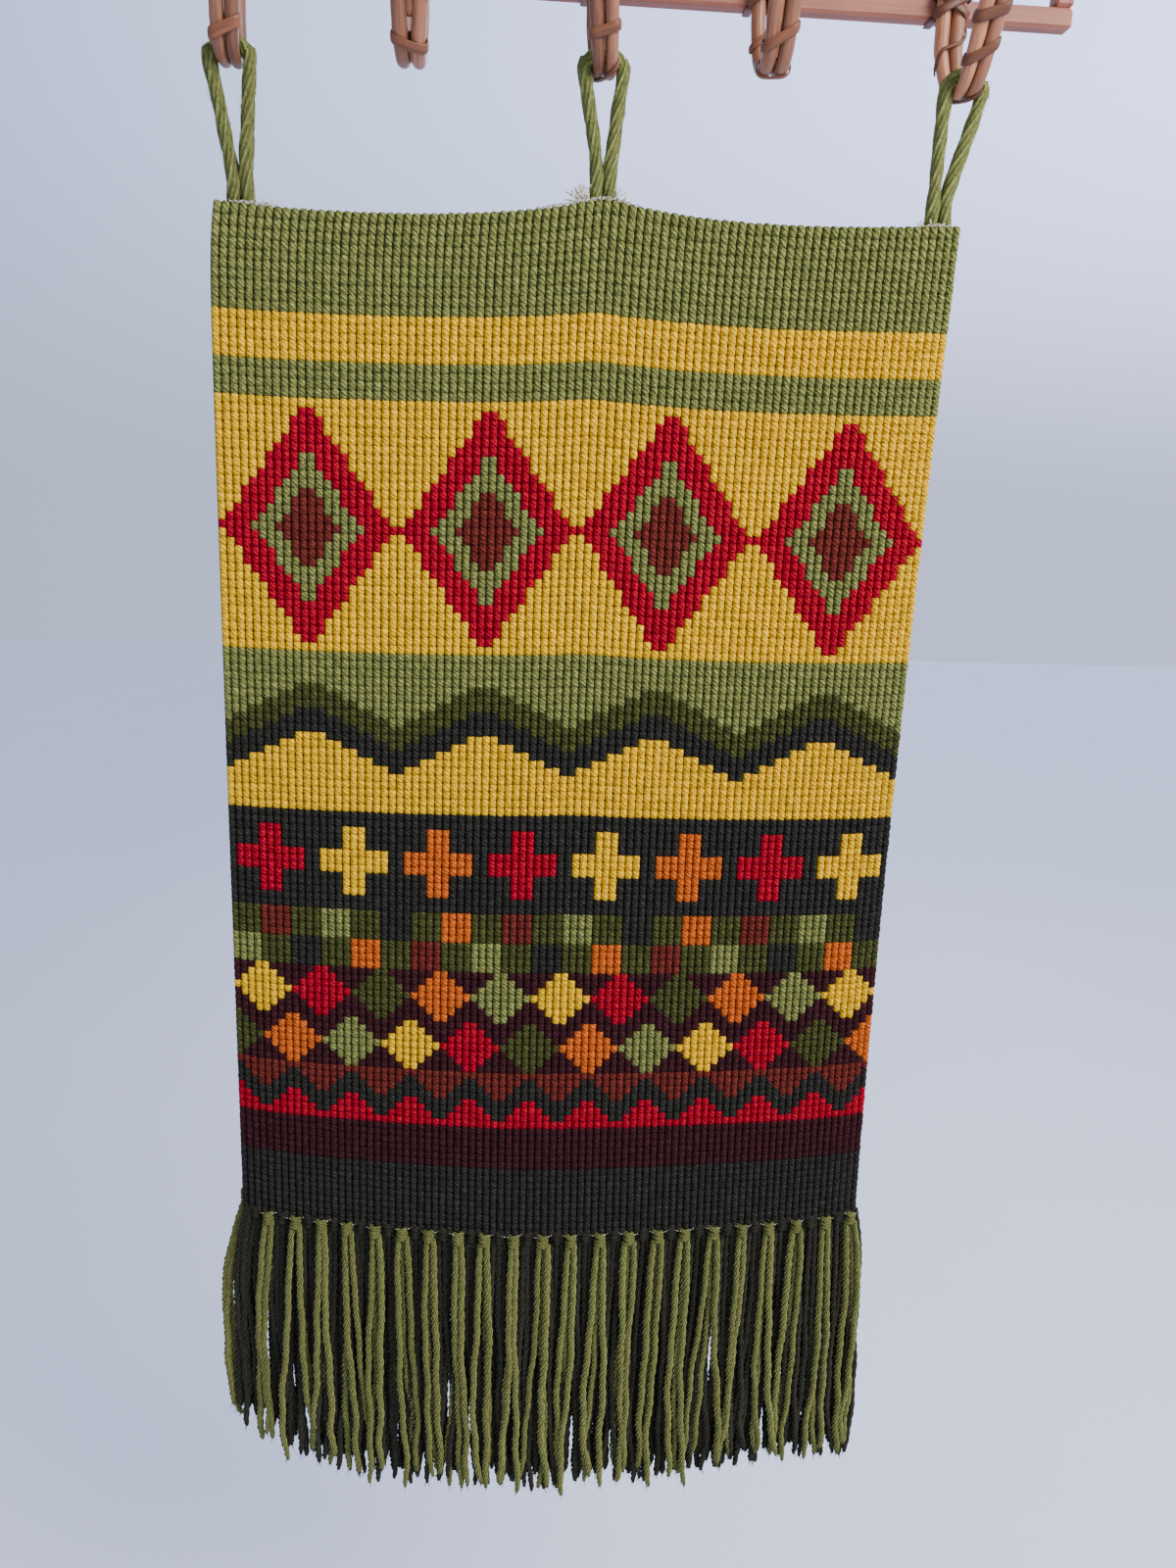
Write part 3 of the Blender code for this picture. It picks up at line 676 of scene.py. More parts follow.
def chart_lattice(x, y, rows, ground, yarns):
    """Small diamonds in rows of seven stitches, each row moved by half a period."""
    line = y // 7
    moved = x + 4 * (line % 2)
    u = np.abs(moved % 8 - 3.5)
    v = np.abs(y % 7 - 3)
    return np.where(u + v < 4.2, np.array(yarns)[(moved // 8 + 2 * line) % len(yarns)], ground)


def chart_teeth(x, y, rows, ground, yarns):
    """Two rows of stepped teeth that point at each other."""
    u = np.abs(x % 8 - 3.5)
    made = np.where(y < 3.6 - u, yarns[0], ground)
    return np.where(rows - 1 - y < 3.6 - np.abs((x + 4) % 8 - 3.5), yarns[1], made)


PATTERNS = {
    "plain": chart_plain,
    "diamonds": chart_diamonds,
    "zigzag": chart_zigzag,
    "crosses": chart_crosses,
    "checks": chart_checks,
    "lattice": chart_lattice,
    "teeth": chart_teeth,
}


def stitch_chart(columns, rows):
    """Yarn number of each stitch, rows down and columns across."""
    parts = []
    for count, pattern, ground, yarns in BANDS:
        y, x = np.mgrid[0:count, 0:columns]
        parts.append(PATTERNS[pattern](x, y, count, ground, yarns))
    chart = np.concatenate(parts).astype(int)
    if chart.shape != (rows, columns):
        raise ValueError(f"the bands make {chart.shape[0]} rows, and the panel has {rows}")
    return chart


# Pieces of the cloth


def worked_drop(row, rows):
    """Drop at a place counted in rows: the first rows stand a little over the top edge and the last
    ones roll under the lower edge, both fading as an exponential."""
    top = 0.38 * np.exp(-np.maximum(row, 0) / 2.5)
    foot = 0.20 * np.exp(-np.maximum(rows - row, 0) / 2.5)
    return (row - top + foot) / rows


def make_canvas(sizes, colours):
    """Canvas under the stitches: a front and a back grid with a cell for each stitch, joined by a rim.
    Towards the edges the back is thicker, where the hem is turned in."""
    columns, rows = sizes.columns, sizes.rows
    share, drop = np.meshgrid(np.arange(columns + 1) / columns, np.arange(rows + 1) / rows)
    c = share * columns
    r = drop * rows
    middle, across, down, front = sheet_frame(share, worked_drop(r, rows))
    from_edge = np.minimum(np.minimum(c, columns - c), np.minimum(r, rows - r))
    hem = sizes.hem_rise * np.clip(sizes.hem + 0.5 - from_edge, 0, 1)
    points = np.stack([
        middle + front * sizes.canvas_front,
        middle - front * (sizes.canvas_back + hem[..., None]),
    ])
    index = np.arange(points.size // 3).reshape(2, rows + 1, columns + 1)
    a, b = index
    front_faces = np.stack([a[:-1, :-1], a[1:, :-1], a[1:, 1:], a[:-1, 1:]], -1).reshape(-1, 4)
    back_faces = np.stack([b[:-1, :-1], b[:-1, 1:], b[1:, 1:], b[1:, :-1]], -1).reshape(-1, 4)
    loop_a = np.concatenate([a[0, :-1], a[:-1, -1], a[-1, :0:-1], a[:0:-1, 0]])
    loop_b = np.concatenate([b[0, :-1], b[:-1, -1], b[-1, :0:-1], b[:0:-1, 0]])
    rim = np.stack([loop_a, np.roll(loop_a, -1), np.roll(loop_b, -1), loop_b], -1)
    chart = stitch_chart(columns, rows)
    yarn = np.array([rgba(getattr(colours, key)) for key in YARNS])[chart.ravel()]
    # painted shade: the canvas front, seen in the slits between the stitches, and its rim take the cell's yarn darkened
    # to under half
    dark = yarn * np.array([0.45, 0.42, 0.40, 1.0])
    face_colours = np.concatenate([dark, yarn * np.array([0.8, 0.8, 0.8, 1.0]), np.tile(dark[:1], (len(rim), 1))])
    corner_uv = np.stack([c, r], -1)
    flat_uv = np.concatenate([corner_uv, corner_uv]).reshape(-1, 2)
    faces = np.concatenate([front_faces, back_faces, rim])
    worked = canvas_back("stitch_backs")
    made = add_piece(
        "canvas", points, [faces], worked, uv=flat_uv[faces.ravel()], face_colours=face_colours
    )
    made.data.materials.append(bare_canvas("bare_canvas", colours.canvas))
    cell_r, cell_c = np.mgrid[0:rows, 0:columns]
    edge_cell = np.minimum(np.minimum(cell_c, columns - 1 - cell_c), np.minimum(cell_r, rows - 1 - cell_r))
    bare = (edge_cell < sizes.hem).ravel()
    slots = np.concatenate([np.zeros(rows * columns), bare, np.zeros(len(rim))]).astype(np.int32)
    made.data.polygons.foreach_set("material_index", slots)
    made.data.update()
    return made


def make_stitches(sizes, colours):
    """Plump stitches, one joined mesh for each yarn. A stitch is a short tube down its column: its
    outline has six corners, and the tube narrows and sinks at both ends."""
    columns, rows = sizes.columns, sizes.rows
    chart = stitch_chart(columns, rows)
    rng = np.random.default_rng(7)
    # across and rise of the outline's corners, from the right foot over the ridge to the left foot
    outline = np.array([(0.96, -0.30), (0.90, 0.40), (0.52, 1.0), (-0.34, 1.0), (-0.84, 0.36), (-0.96, -0.30)])
    # place along the column, width and height of the rings
    rings = np.array([(-1.06, 0.86, 0.79), (-0.50, 1.03, 1.0), (0.46, 1.02, 0.99), (1.08, 0.88, 0.77)])
    made = []
    for number, key in enumerate(YARNS):
        r, c = np.nonzero(chart == number)
        count = len(r)
        shape = (count, len(rings), len(outline))
        jitter = rng.uniform(-1, 1, (5, count, 1, 1))
        along = np.broadcast_to(rings[:, 0][None, :, None], shape)
        across = outline[:, 0][None, None] * rings[:, 1][None, :, None] * (1 + 0.03 * jitter[0])
        across = across - (0.04 + 0.05 * jitter[1]) * along + 0.03 * jitter[2]
        across = np.clip(across, -1.12, 1.12)
        rise = outline[:, 1][None, None] * rings[:, 2][None, :, None] * (1 + 0.10 * jitter[3])
        rise = np.where(outline[:, 1][None, None] < 0, -0.30, rise)
        tilt = 0.07 * along * jitter[4]
        share = (c[:, None, None] + 0.5 + across / 2) / columns
        slope = (sizes.lean + 0.04 * jitter[1]) * across
        drop = worked_drop(r[:, None, None] + 0.5 + (along + slope + 0.06 * jitter[2]) / 2, rows)
        middle, side, down, front = sheet_frame(share, np.broadcast_to(drop, shape))
        lifted = sizes.canvas_front + sizes.rise * (rise + tilt)
        points = middle + front * lifted[..., None]
        cell = np.array([1000 * (RIGHT_X - LEFT_X) / columns, 1000 * PANEL_DROP / rows])
        distance = np.linalg.norm(np.diff(outline * [cell[0] / 2, 2.0], axis=0), axis=1)
        around = np.concatenate([[0], np.cumsum(distance), [distance.sum() + cell[0]]])
        offset = rng.uniform(0, 400, (count, 2))
        around = np.broadcast_to(around + offset[:, :1, None], (*shape[:2], 7))
        places = rings[:, 0][None, :, None] * cell[1] / 2 + offset[:, 1:, None]
        # each stitch's own tone at random, times painted light: brighter at its top and on its right side, darker at
        # its foot and left, as if lit from the upper right
        tone = rng.normal(1.0, 0.06, (count, 1, 1)) * (1 - 0.10 * along) * (1 + 0.16 * across * (1 - 0.8 * along))
        # height over the canvas, which the wool turns into painted shade low on the stitch and in the grooves
        height = np.clip(np.broadcast_to(rise, shape), 0, 1)
        low_shade, depth = YARN_SHADES[key]
        material = wool(
            f"wool_{key}", getattr(colours, key), 1.12, low_shade, ridges=0.42, ridge_shade=1 - 1.25 * depth, slant=1.12, depth=depth
        )
        piece = add_piece(
            f"stitches_{key}", points, tube_faces(*shape), material,
            uv=tube_uv(around, places), values={"tone": tone, "rise": height},
        )
        made.append(piece)
    return made


def light_heads(count):
    """Places of the light tassels along the lower edge: equal steps, a little closer at the left and
    uneven, with the first one just outside the corner."""
    rng = np.random.default_rng(3)
    heads = np.linspace(0.004, 0.991, count)
    heads = heads - 0.016 * np.sin(math.pi * heads) + rng.uniform(-0.0022, 0.0022, count)
    heads[0] = 0.003
    return heads


def make_fringe(name, node, key, places, stray, spread_out, heads, hidden, forward, foot, seed, sizes, colours):
    """A row of tassels in one yarn. Each has a knot of flat turns, and strands that fall from it: a
    strand's path falls straight down, spreads from its neighbours, swings out near the panel's sides
    and sways in three sine waves that grow with the fall. stray is how far a strand's place may differ,
    hidden lifts a head up behind the panel, and foot is how far under the head's middle the strands
    begin. Strands right at the back sway less and are thicker, so that the row is closed."""
    rng = np.random.default_rng(seed)
    count = len(heads)
    side = np.array([1.0, 0.0, 0.0])
    outward = np.array([0.0, -1.0, 0.0])
    edge = sheet_frame(heads, np.ones(count))[0]
    head = edge + outward * (PANEL_THICKNESS / 2 + forward - 0.75 * hidden)[:, None]
    head = head + np.array([0, 0, 1.0]) * (hidden - 0.0012)[:, None]
    # strands: places under the knot, across and forward
    group = len(places)
    places = np.array(places) + rng.uniform(-1, 1, (count, group, 2)) * [stray, 0.0006]
    loose = np.where(places[..., 1] < -0.003, 0.3, 1.0).reshape(-1, 1)
    rings = 64
    fall = np.linspace(0, 1, rings)
    share = np.repeat(heads, group)
    root = head[:, None] + side * places[..., :1] * 0.80 + outward * places[..., 1:]
    root = root.reshape(-1, 1, 3) - np.array([0, 0, foot])
    strands = len(root)
    size = blend_table(FRINGE_LENGTH, share) + rng.uniform(-1, 1, strands) * sizes.uneven + np.repeat(hidden, group)
    swing = (2 * share - 1) ** 11 * np.where(share < 0.5, sizes.flare_left, sizes.flare_right)
    swing = swing[:, None] * np.sin(math.pi / 2 * np.minimum(1, fall / FLARE_END))
    phase = rng.uniform(0, 2 * math.pi, (4, strands, 1))
    grow = sizes.sway * loose * fall**0.8
    wave = np.sin(phase[0] + 3.6 * fall) + 0.34 * np.sin(phase[1] + 11.0 * fall) + 0.22 * np.sin(phase[3] + 29.0 * fall)
    open_out = spread_out * np.repeat(rng.uniform(0.1, 1.9, count), group)[:, None]
    apart = places[..., 0].reshape(-1, 1) * (0.20 * np.minimum(1, 10 * fall) + open_out * fall**1.3)
    lean = rng.normal(0, 0.0027, (strands, 1)) * loose * fall**1.4
    bend = rng.normal(0.0010, 0.0016, (strands, 1)) * np.clip(fall / 0.12 - 7.3, 0, None)
    x = root[..., 0] + swing + apart + grow * (wave - np.sin(phase[0])) + lean + bend
    y = root[..., 1] + 0.5 * grow * np.sin(phase[2] + 3.0 * fall)
    z = root[..., 2] - (size[:, None] - foot) * fall
    paths = np.stack([x, y, z], -1)
    thick = np.interp(fall, [0, 0.04, 0.12, 0.93, 0.985, 1], [0.85, 0.90, 1.0, 1.0, 0.82, 0.50])
    radii = sizes.strand_radius * thick * rng.uniform(0.90, 1.10, (strands, 1)) * (1.5 - 0.5 * loose)
    girth = 2000 * math.pi * sizes.strand_radius
    start = rng.uniform(0, 6, (strands, 1, 1))
    blocks = [yarn_tubes(paths, np.array([0.0, 1.0, 0.0]), radii, 3, sizes.ply_turn, 0.16, 6, girth, start)]

    # knots: turns of yarn across the front, each a half ellipse seen from above that arches up a little
    levels = np.array([0.0012, -0.0018, -0.0046])
    t = np.linspace(-0.35, math.pi + 0.35, 13)
    half = sizes.knot_width / 2 - 0.0017
    jitter = rng.uniform(-1, 1, (2, count, 3, 1))
    knot = np.stack(np.broadcast_arrays(
        head[:, None, None, 0] + half * np.cos(t) * (1 + 0.08 * jitter[0]),
        head[:, None, None, 1] - 0.0038 * np.sin(t),
        head[:, None, None, 2] + levels[:, None] + 0.0010 * np.sin(t) + 0.0007 * jitter[1] * np.cos(t),
    ), -1).reshape(-1, len(t), 3)
    knot_radii = 0.00185 * rng.uniform(0.9, 1.1, (len(knot), 1)) * np.ones(len(t))
    blocks.append(yarn_tubes(knot, np.array([0.0, 0.0, 1.0]), knot_radii, 3, 0.020, 0.16, 6, girth))

    # frayed ends: a few fine fibres spread from each tip
    hairs = 4
    tips = np.repeat(paths[:, -2], hairs, axis=0)
    spread = rng.normal(0, 0.0014, (len(tips), 2))
    reach = rng.uniform(0.003, 0.009, len(tips))
    s = np.linspace(0, 1, 4)
    hair = np.stack(np.broadcast_arrays(spread[:, :1] * s, spread[:, 1:] * s, -reach[:, None] * s), -1)
    hair_radii = 0.00045 * (1 - 0.85 * s) * np.ones((len(tips), 1))
    blocks.append(yarn_tubes(tips[:, None] + hair, np.array([0.0, 1.0, 0.0]), hair_radii, 1, 1.0, 0.0, 3, girth))
    points, faces, uvs, tones, painted_shade_heights = join_blocks(blocks, rng)
    # painted shade between the plies, from the ridges' wave and the plies' height; the round frayed hairs get the
    # groove's painted shade all over
    yarn = wool(f"wool_{key}", getattr(colours, key), 0.1, low_shade=0.8, ridges=6 / girth, ridge_shade=0.38)
    made = add_piece(name, points, faces, yarn, uv=uvs, values={"tone": tones, "rise": painted_shade_heights})
    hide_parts(node)
    return made


def join_blocks(blocks, rng, block_tones=None):
    """Joins blocks of tubes into one list of points and faces; each tube gets a tone of its own."""
    points, faces, uvs, tones, ridges = [], [], [], [], []
    start = 0
    for number, (block, uv, ridge) in enumerate(blocks):
        for group in tube_faces(*block.shape[:3]):
            faces.append(group + start)
        start += block.size // 3
        points.append(block.reshape(-1, 3))
        uvs.append(uv)
        tone = rng.normal(1.0, 0.06, (len(block), 1, 1)) * (block_tones[number] if block_tones else 1)
        tones.append(np.broadcast_to(tone, block.shape[:3]).ravel())
        ridges.append(ridge.ravel())
    return np.concatenate(points), faces, np.concatenate(uvs), np.concatenate(tones), np.concatenate(ridges)


# Loops and thread


def loop_route(hook_x, low_z, low_radius, root_x):
    """Points that a loop follows: up from behind the panel, over the hook's bend and down again."""
    share = (root_x - LEFT_X) / (RIGHT_X - LEFT_X)
    edge = sheet_point(share, 0.0)
    reach = (ROOT_SPREAD + ROUTE_CORD) / (RIGHT_X - LEFT_X)
    back = sheet_point(share + reach * np.array([-1, 0, 1, -1, 0, 1]), np.array([0, 0, 0, 1, 1, 1]) / 16)[:, 1].max()
    root_y = back + PANEL_THICKNESS / 2 + ROUTE_CORD + TOUCH_GAP
    left_x = root_x - ROOT_SPREAD
    left_leg = [
        np.array([left_x, root_y, edge[2] - ROOT_DEPTH]),
        np.array([left_x, root_y, edge[2] + 0.002]),
        np.array([left_x, root_y + MEET_SHARE * (HANG_Y - root_y), edge[2] + MEET_HEIGHT]),
    ]
    right_leg = [point + np.array([2 * (root_x - point[0]), 0, 0]) for point in reversed(left_leg)]
    inside = ARCH_RADIUS - ROUTE_CORD - TOUCH_GAP - low_radius
    arch_z = low_z - math.sqrt(inside**2 - (low_radius + CANE_PARTING) ** 2)
    turn = np.radians(np.arange(180, -1, -30))
    arch = np.stack([hook_x + ARCH_RADIUS * np.cos(turn), np.full(7, HANG_Y), arch_z + ARCH_RADIUS * np.sin(turn)], 1)
    return left_leg + list(arch) + right_leg


def fuzz(path, radius, count, rng):
    """Short fibres that stand off a cord. Each starts on its surface, runs along it and lifts away with
    the square of the way."""
    at = rng.integers(4, len(path) - 4, count)
    tangents = unit(np.gradient(path, axis=0))[at]
    aside = rng.normal(0, 1, (count, 3))
    out = unit(aside - tangents * np.sum(aside * tangents, axis=1, keepdims=True))[:, None]
    s = np.linspace(0, 1, 4)[None, :, None]
    reach = rng.uniform(0.0020, 0.0045, (count, 1, 1)) * rng.choice([-1, 1], (count, 1, 1))
    lift = rng.uniform(0.0005, 0.0018, (count, 1, 1))
    fibres = path[at][:, None] + out * (0.94 * radius + lift * s**2) + tangents[:, None] * reach * s
    radii = 0.00013 * (1 - 0.6 * s[..., 0]) * np.ones((count, 1))
    return yarn_tubes(fibres, np.array([0.3, 0.9, 0.3]), radii, 1, 1.0, 0.0, 3, 3.0)


def make_loops(sizes, colours):
    """Loosely twisted cords of several soft yarns, carried along each loop's route. The outline is a
    circle with one shallow lobe for each yarn and turns slowly along the cord."""
    girth = 2000 * math.pi * sizes.radius
    ridges = 2 * sizes.yarns / girth
    # painted shade between the cord's yarns, from the ridges' wave and the lobes' height; the fuzz, with no lobes, gets
    # that painted shade all over
    material = wool("wool_cord", colours.cord, 0.05, low_shade=0.75, ridges=ridges, ridge_shade=0.74)
    rng = np.random.default_rng(13)
    made = []
    for name, (hook, root_x) in LOOPS.items():
        hook_x, low_z, low_radius = HOOKS[hook][:3]
        path, along = smooth_path(loop_route(hook_x, low_z, low_radius, root_x), 0.0016)
        corners = 5 * sizes.yarns
        tangents = unit(np.gradient(path, axis=0))
        side = np.array([0.0, 1.0, 0.0])
        first = unit(side - tangents * (tangents @ side)[:, None])
        second = np.cross(tangents, first)
        k = np.arange(corners) / corners
        outline = 0.94 + 0.06 * np.cos(2 * math.pi * sizes.yarns * k)
        angle = 2 * math.pi * (k + along[:, None] / sizes.ply_turn) + 0.9
        thick = 1 + 0.05 * np.sin(along / 0.013 + root_x * 90) + 0.03 * np.sin(along / 0.0047)
        lobes = 1 + 0.04 * np.sin(along[:, None] / 0.009 + 2 * math.pi * 3 * k + root_x * 50)
        out = sizes.radius * outline * thick[:, None] * lobes
        points = path[:, None] + out[..., None] * (
            np.cos(angle)[..., None] * first[:, None] + np.sin(angle)[..., None] * second[:, None]
        )
        around = np.broadcast_to(girth * np.arange(corners + 1) / corners, (1, len(path), corners + 1))
        ridge = np.broadcast_to((outline - outline.min()) / np.ptp(outline), (1, *points.shape[:2]))
        cord = (points[None], tube_uv(around, 1000 * along[None, :, None] + 37 * root_x), ridge)
        joined, faces, uvs, tones, ridges = join_blocks([cord, fuzz(path, sizes.radius, 260, rng)], rng)
        piece = add_piece(
            f"{name}_cord", joined, faces, material, uv=uvs, values={"tone": tones, "rise": ridges}
        )
        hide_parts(name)
        made.append(piece)
    return made


def plain_thread(paths, radius, corners=5):
    """Tubes of sewing thread along paths of equal ring counts."""
    radii = np.full(paths.shape[:2], radius)
    return yarn_tubes(paths, np.array([0.0, 0.31, 0.95]), radii, 1, 0.004, 0.0, corners, 2000 * math.pi * radius)


def make_thread(stitches, fringe, colours):
    """Cream sewing thread: dashes over the light knots, whipping along the top edge beside the middle
    loop, loose tufts there, stitches that hold the loops' roots, and slanting stitches on the hem."""
    rng = np.random.default_rng(5)
    blocks = []
    s = np.linspace(-1, 1, 7)

    heads = light_heads(fringe.light_tassels)[1:]
    lengths = rng.uniform(0.0052, 0.0072, len(heads))
    moved = rng.uniform(-0.0016, 0.0010, len(heads))
    edge = sheet_frame(heads, np.ones(len(heads)))[0]
    x = edge[:, 0:1] + moved[:, None] + lengths[:, None] * s
    z = edge[:, 2:3] + 0.0013 + rng.uniform(-0.0006, 0.0006, (len(heads), 1))
    z = z + 0.0008 * rng.uniform(-1, 1, (len(heads), 1)) * s
    y = edge[:, 1:2] - PANEL_THICKNESS / 2 - 0.0016 - 0.0024 * (1 - s**2) * np.ones_like(x)
    blocks.append(plain_thread(np.stack([x, y, z], -1), 0.00035))

    # whipping: a shallow wave along the top edge, left of the middle loop and round its foot
    for start, end, count in ((0.425, 0.560, 66), (0.022, 0.088, 34), (0.945, 0.985, 22)):
        share = np.linspace(start, end, count)
        point, across, down, front = sheet_frame(share, np.zeros(count))
        wave = np.sin(share * 900)
        up = 0.0030 + 0.0004 * np.cos(share * 620)
        path = point + front * (0.0020 + 0.0008 * wave)[:, None] + np.array([0, 0, 1.0]) * up[:, None]
        blocks.append(plain_thread(path[None], 0.00042))
        path = path + np.array([0.0006, -0.0004, 0.0007])
        blocks.append(plain_thread(path[None, 6:-6], 0.00036))

    # tufts: loose ends beside the roots
    tufts = (
        # share of the width, number of ends, length, lean to the side
        (0.489, 30, 0.0125, -0.42),
        (0.531, 10, 0.010, 0.30),
        (0.066, 4, 0.007, 0.5),
        (0.955, 4, 0.007, -0.3),
    )
    for middle, number, reach, lean in tufts:
        root = sheet_point(middle + rng.uniform(-0.006, 0.006, number), np.zeros(number)) + np.array([0, 0.0015, 0.0])
        t = np.linspace(0, 1, 9)
        size = reach * rng.uniform(0.5, 1.15, (number, 1))
        turn = lean + rng.normal(0, 0.22, (number, 1))
        curl = rng.normal(0, 0.5, (number, 1))
        angle = turn + curl * t
        dx = np.cumsum(np.sin(angle), axis=1) / 9 * size
        dz = np.cumsum(np.cos(angle), axis=1) / 9 * size
        dy = -0.003 * t * rng.uniform(-0.4, 1, (number, 1))
        blocks.append(plain_thread(root[:, None] + np.stack([dx, dy, dz], -1), 0.00046, 4))

    # cross stitches at the back that hold the loops' roots
    for name, (hook, root_x) in LOOPS.items():
        root = loop_route(*HOOKS[hook][:3], root_x)[0]
        for level in np.arange(4):
            z0 = root[2] + 0.003 + 0.0048 * level
            for sign in (-1, 1):
                x = root_x + 0.0098 * s
                y = root[1] + 0.0050 - 0.0085 * np.abs(s) ** 5 + 0.0003 * sign
                z = z0 + sign * 0.0019 * s
                blocks.append(plain_thread(np.stack([x, y, z], -1)[None], 0.00040))

    # slanting stitches over the hem's inner edge at the back
    step = 2
    side_rows = np.arange(stitches.hem + 2, stitches.rows - stitches.hem - 1, step) / stitches.rows
    side_columns = np.arange(stitches.hem + 2, stitches.columns - stitches.hem - 1, step) / stitches.columns
    hem_share = stitches.hem / stitches.columns
    hem_drop = stitches.hem / stitches.rows
    lines = [
        (np.full(len(side_rows), hem_share), side_rows, 0.008, 0.004),
        (np.full(len(side_rows), 1 - hem_share), side_rows, -0.008, 0.004),
        (side_columns, np.full(len(side_columns), hem_drop), 0.006, 0.006),
        (side_columns, np.full(len(side_columns), 1 - hem_drop), 0.006, -0.006),
    ]
    t = np.linspace(-1, 1, 5)
    for share, drop, move_share, move_drop in lines:
        a = share[:, None] + move_share * t
        b = drop[:, None] + move_drop * t
        point, across, down, front = sheet_frame(a, b)
        out = stitches.canvas_back + stitches.hem_rise + 0.0003 - 0.0006 * t**4
        blocks.append(plain_thread(point - front * (out * np.ones_like(a))[..., None], 0.00038))
    points, faces, uvs, tones, ridges = join_blocks(blocks, rng)
    return add_piece(
        "sewing_thread", points, faces, wool("cotton_thread", colours.thread, low_shade=0.9),
        uv=uvs, values={"tone": tones, "rise": ridges},
    )


# Hooks


class HookLine:
    """The line that a hook's pair of canes follows, by distance from the bottom of the bend: negative
    up the back leg, positive up the front leg. Each cane is side by side with the other on it."""

    def __init__(self, hook):
        x, low_z, low_radius, back_shift, tip_shift, tip_spread = HOOKS[hook]
        turn = np.linspace(0, math.pi - FRONT_LEAN, 40)
        bend_y = HANG_Y + BEND_RADIUS * np.cos(turn)
        bend_z = low_z + BEND_RADIUS * (1 - np.sin(turn))
        leg = np.linspace(0, 1, 26)[1:]
        rise = FRONT_TIP_Z - bend_z[-1]
        front_z = bend_z[-1] + rise * leg
        front_y = bend_y[-1] - rise * math.tan(FRONT_LEAN) * leg
        back_z = np.linspace(CANE_TOP_Z, bend_z[0], 70)[:-1]
        back_y = np.full(len(back_z), CANE_Y)
        self.y = np.concatenate([back_y, bend_y, front_y])
        self.z = np.concatenate([back_z, bend_z, front_z])
        behind = self.y > HANG_Y
        back_share = np.clip((self.z - low_z) / (BEND_RADIUS + CANE_EASE), 0, 1)
        front_share = np.clip((self.z - low_z) / (FRONT_TIP_Z - low_z), 0, 1)
        self.x = x + np.where(behind, back_shift * back_share, tip_shift * front_share)
        self.parting = CANE_PARTING + np.where(behind, 0, tip_spread * front_share)
        back_radius = low_radius + (BACK_CANE_RADIUS - low_radius) * back_share
        front_radius = low_radius + (TIP_CANE_RADIUS - low_radius) * np.sqrt(front_share)
        self.radius = np.where(behind, back_radius, front_radius)
        steps = np.hypot(np.diff(self.y), np.diff(self.z))
        self.along = np.concatenate([[0], np.cumsum(steps)])
        self.along -= np.interp(math.pi / 2, turn, self.along[len(back_z) : len(back_z) + 40])

    def at(self, along):
        """Point, direction along the canes, radius of a cane and its middle's distance from the line."""
        def read(values):
            return np.interp(along, self.along, values)

        point = np.stack([read(self.x), read(self.y), read(self.z)], -1)
        small = 5e-4
        ahead = np.stack([np.interp(along + small, self.along, v) for v in (self.x, self.y, self.z)], -1)
        behind = np.stack([np.interp(along - small, self.along, v) for v in (self.x, self.y, self.z)], -1)
        radius = read(self.radius)
        return point, unit(ahead - behind), radius, radius + read(self.parting)


def cane_tube(line, sign, start, end, rng, radius_scale=1.0, offset_scale=1.0):
    """One cane: round, a little uneven, with rounded ends, and painted shade on the side towards the other cane; its
    outline has twenty corners.
    """
    along = np.arange(start, end, 0.0017)
    point, tangent, radius, offset = line.at(along)
    first = unit(np.array([1.0, 0, 0]) - tangent * tangent[:, :1])
    second = np.cross(tangent, first)
    path = point + first * (sign * offset * offset_scale)[:, None]
    k = np.arange(20) / 20 * 2 * math.pi
    wave = rng.uniform(0, 6, 4)
    uneven = 0.97 + 0.018 * np.sin(along[:, None] * 130 + wave[0] + np.sin(k)) + 0.012 * np.cos(2 * k + wave[1] + along[:, None] * 40)
    knuckle = 0.05 * np.exp(-((along - rng.uniform(0.02, 0.05)) / 0.0022) ** 2)
    from_end = np.minimum(along - along[0], along[-1] - along)
    rounding = np.sqrt(1 - np.clip(1 - from_end / (0.55 * radius), 0, 0.93) ** 2)
    out = (radius * radius_scale * rounding)[:, None] * (uneven + knuckle[:, None])
    points = path[:, None] + out[..., None] * (np.cos(k)[:, None] * first[:, None] + np.sin(k)[:, None] * second[:, None])
    around = 1000 * radius.mean() * np.arange(21) / 20 * 2 * math.pi + rng.uniform(0, 300)
    uv = tube_uv(np.broadcast_to(around, (1, len(along), 21)), 1000 * along[None, :, None])
    # painted shade: darker on the side that faces the other cane, down in the gap between them
    partner_shade = np.clip(1.15 - 0.9 * np.clip(-sign * np.cos(k), 0, 1) ** 6, 0, 1) * np.ones((len(along), 1))
    return points[None], uv, partner_shade[None]


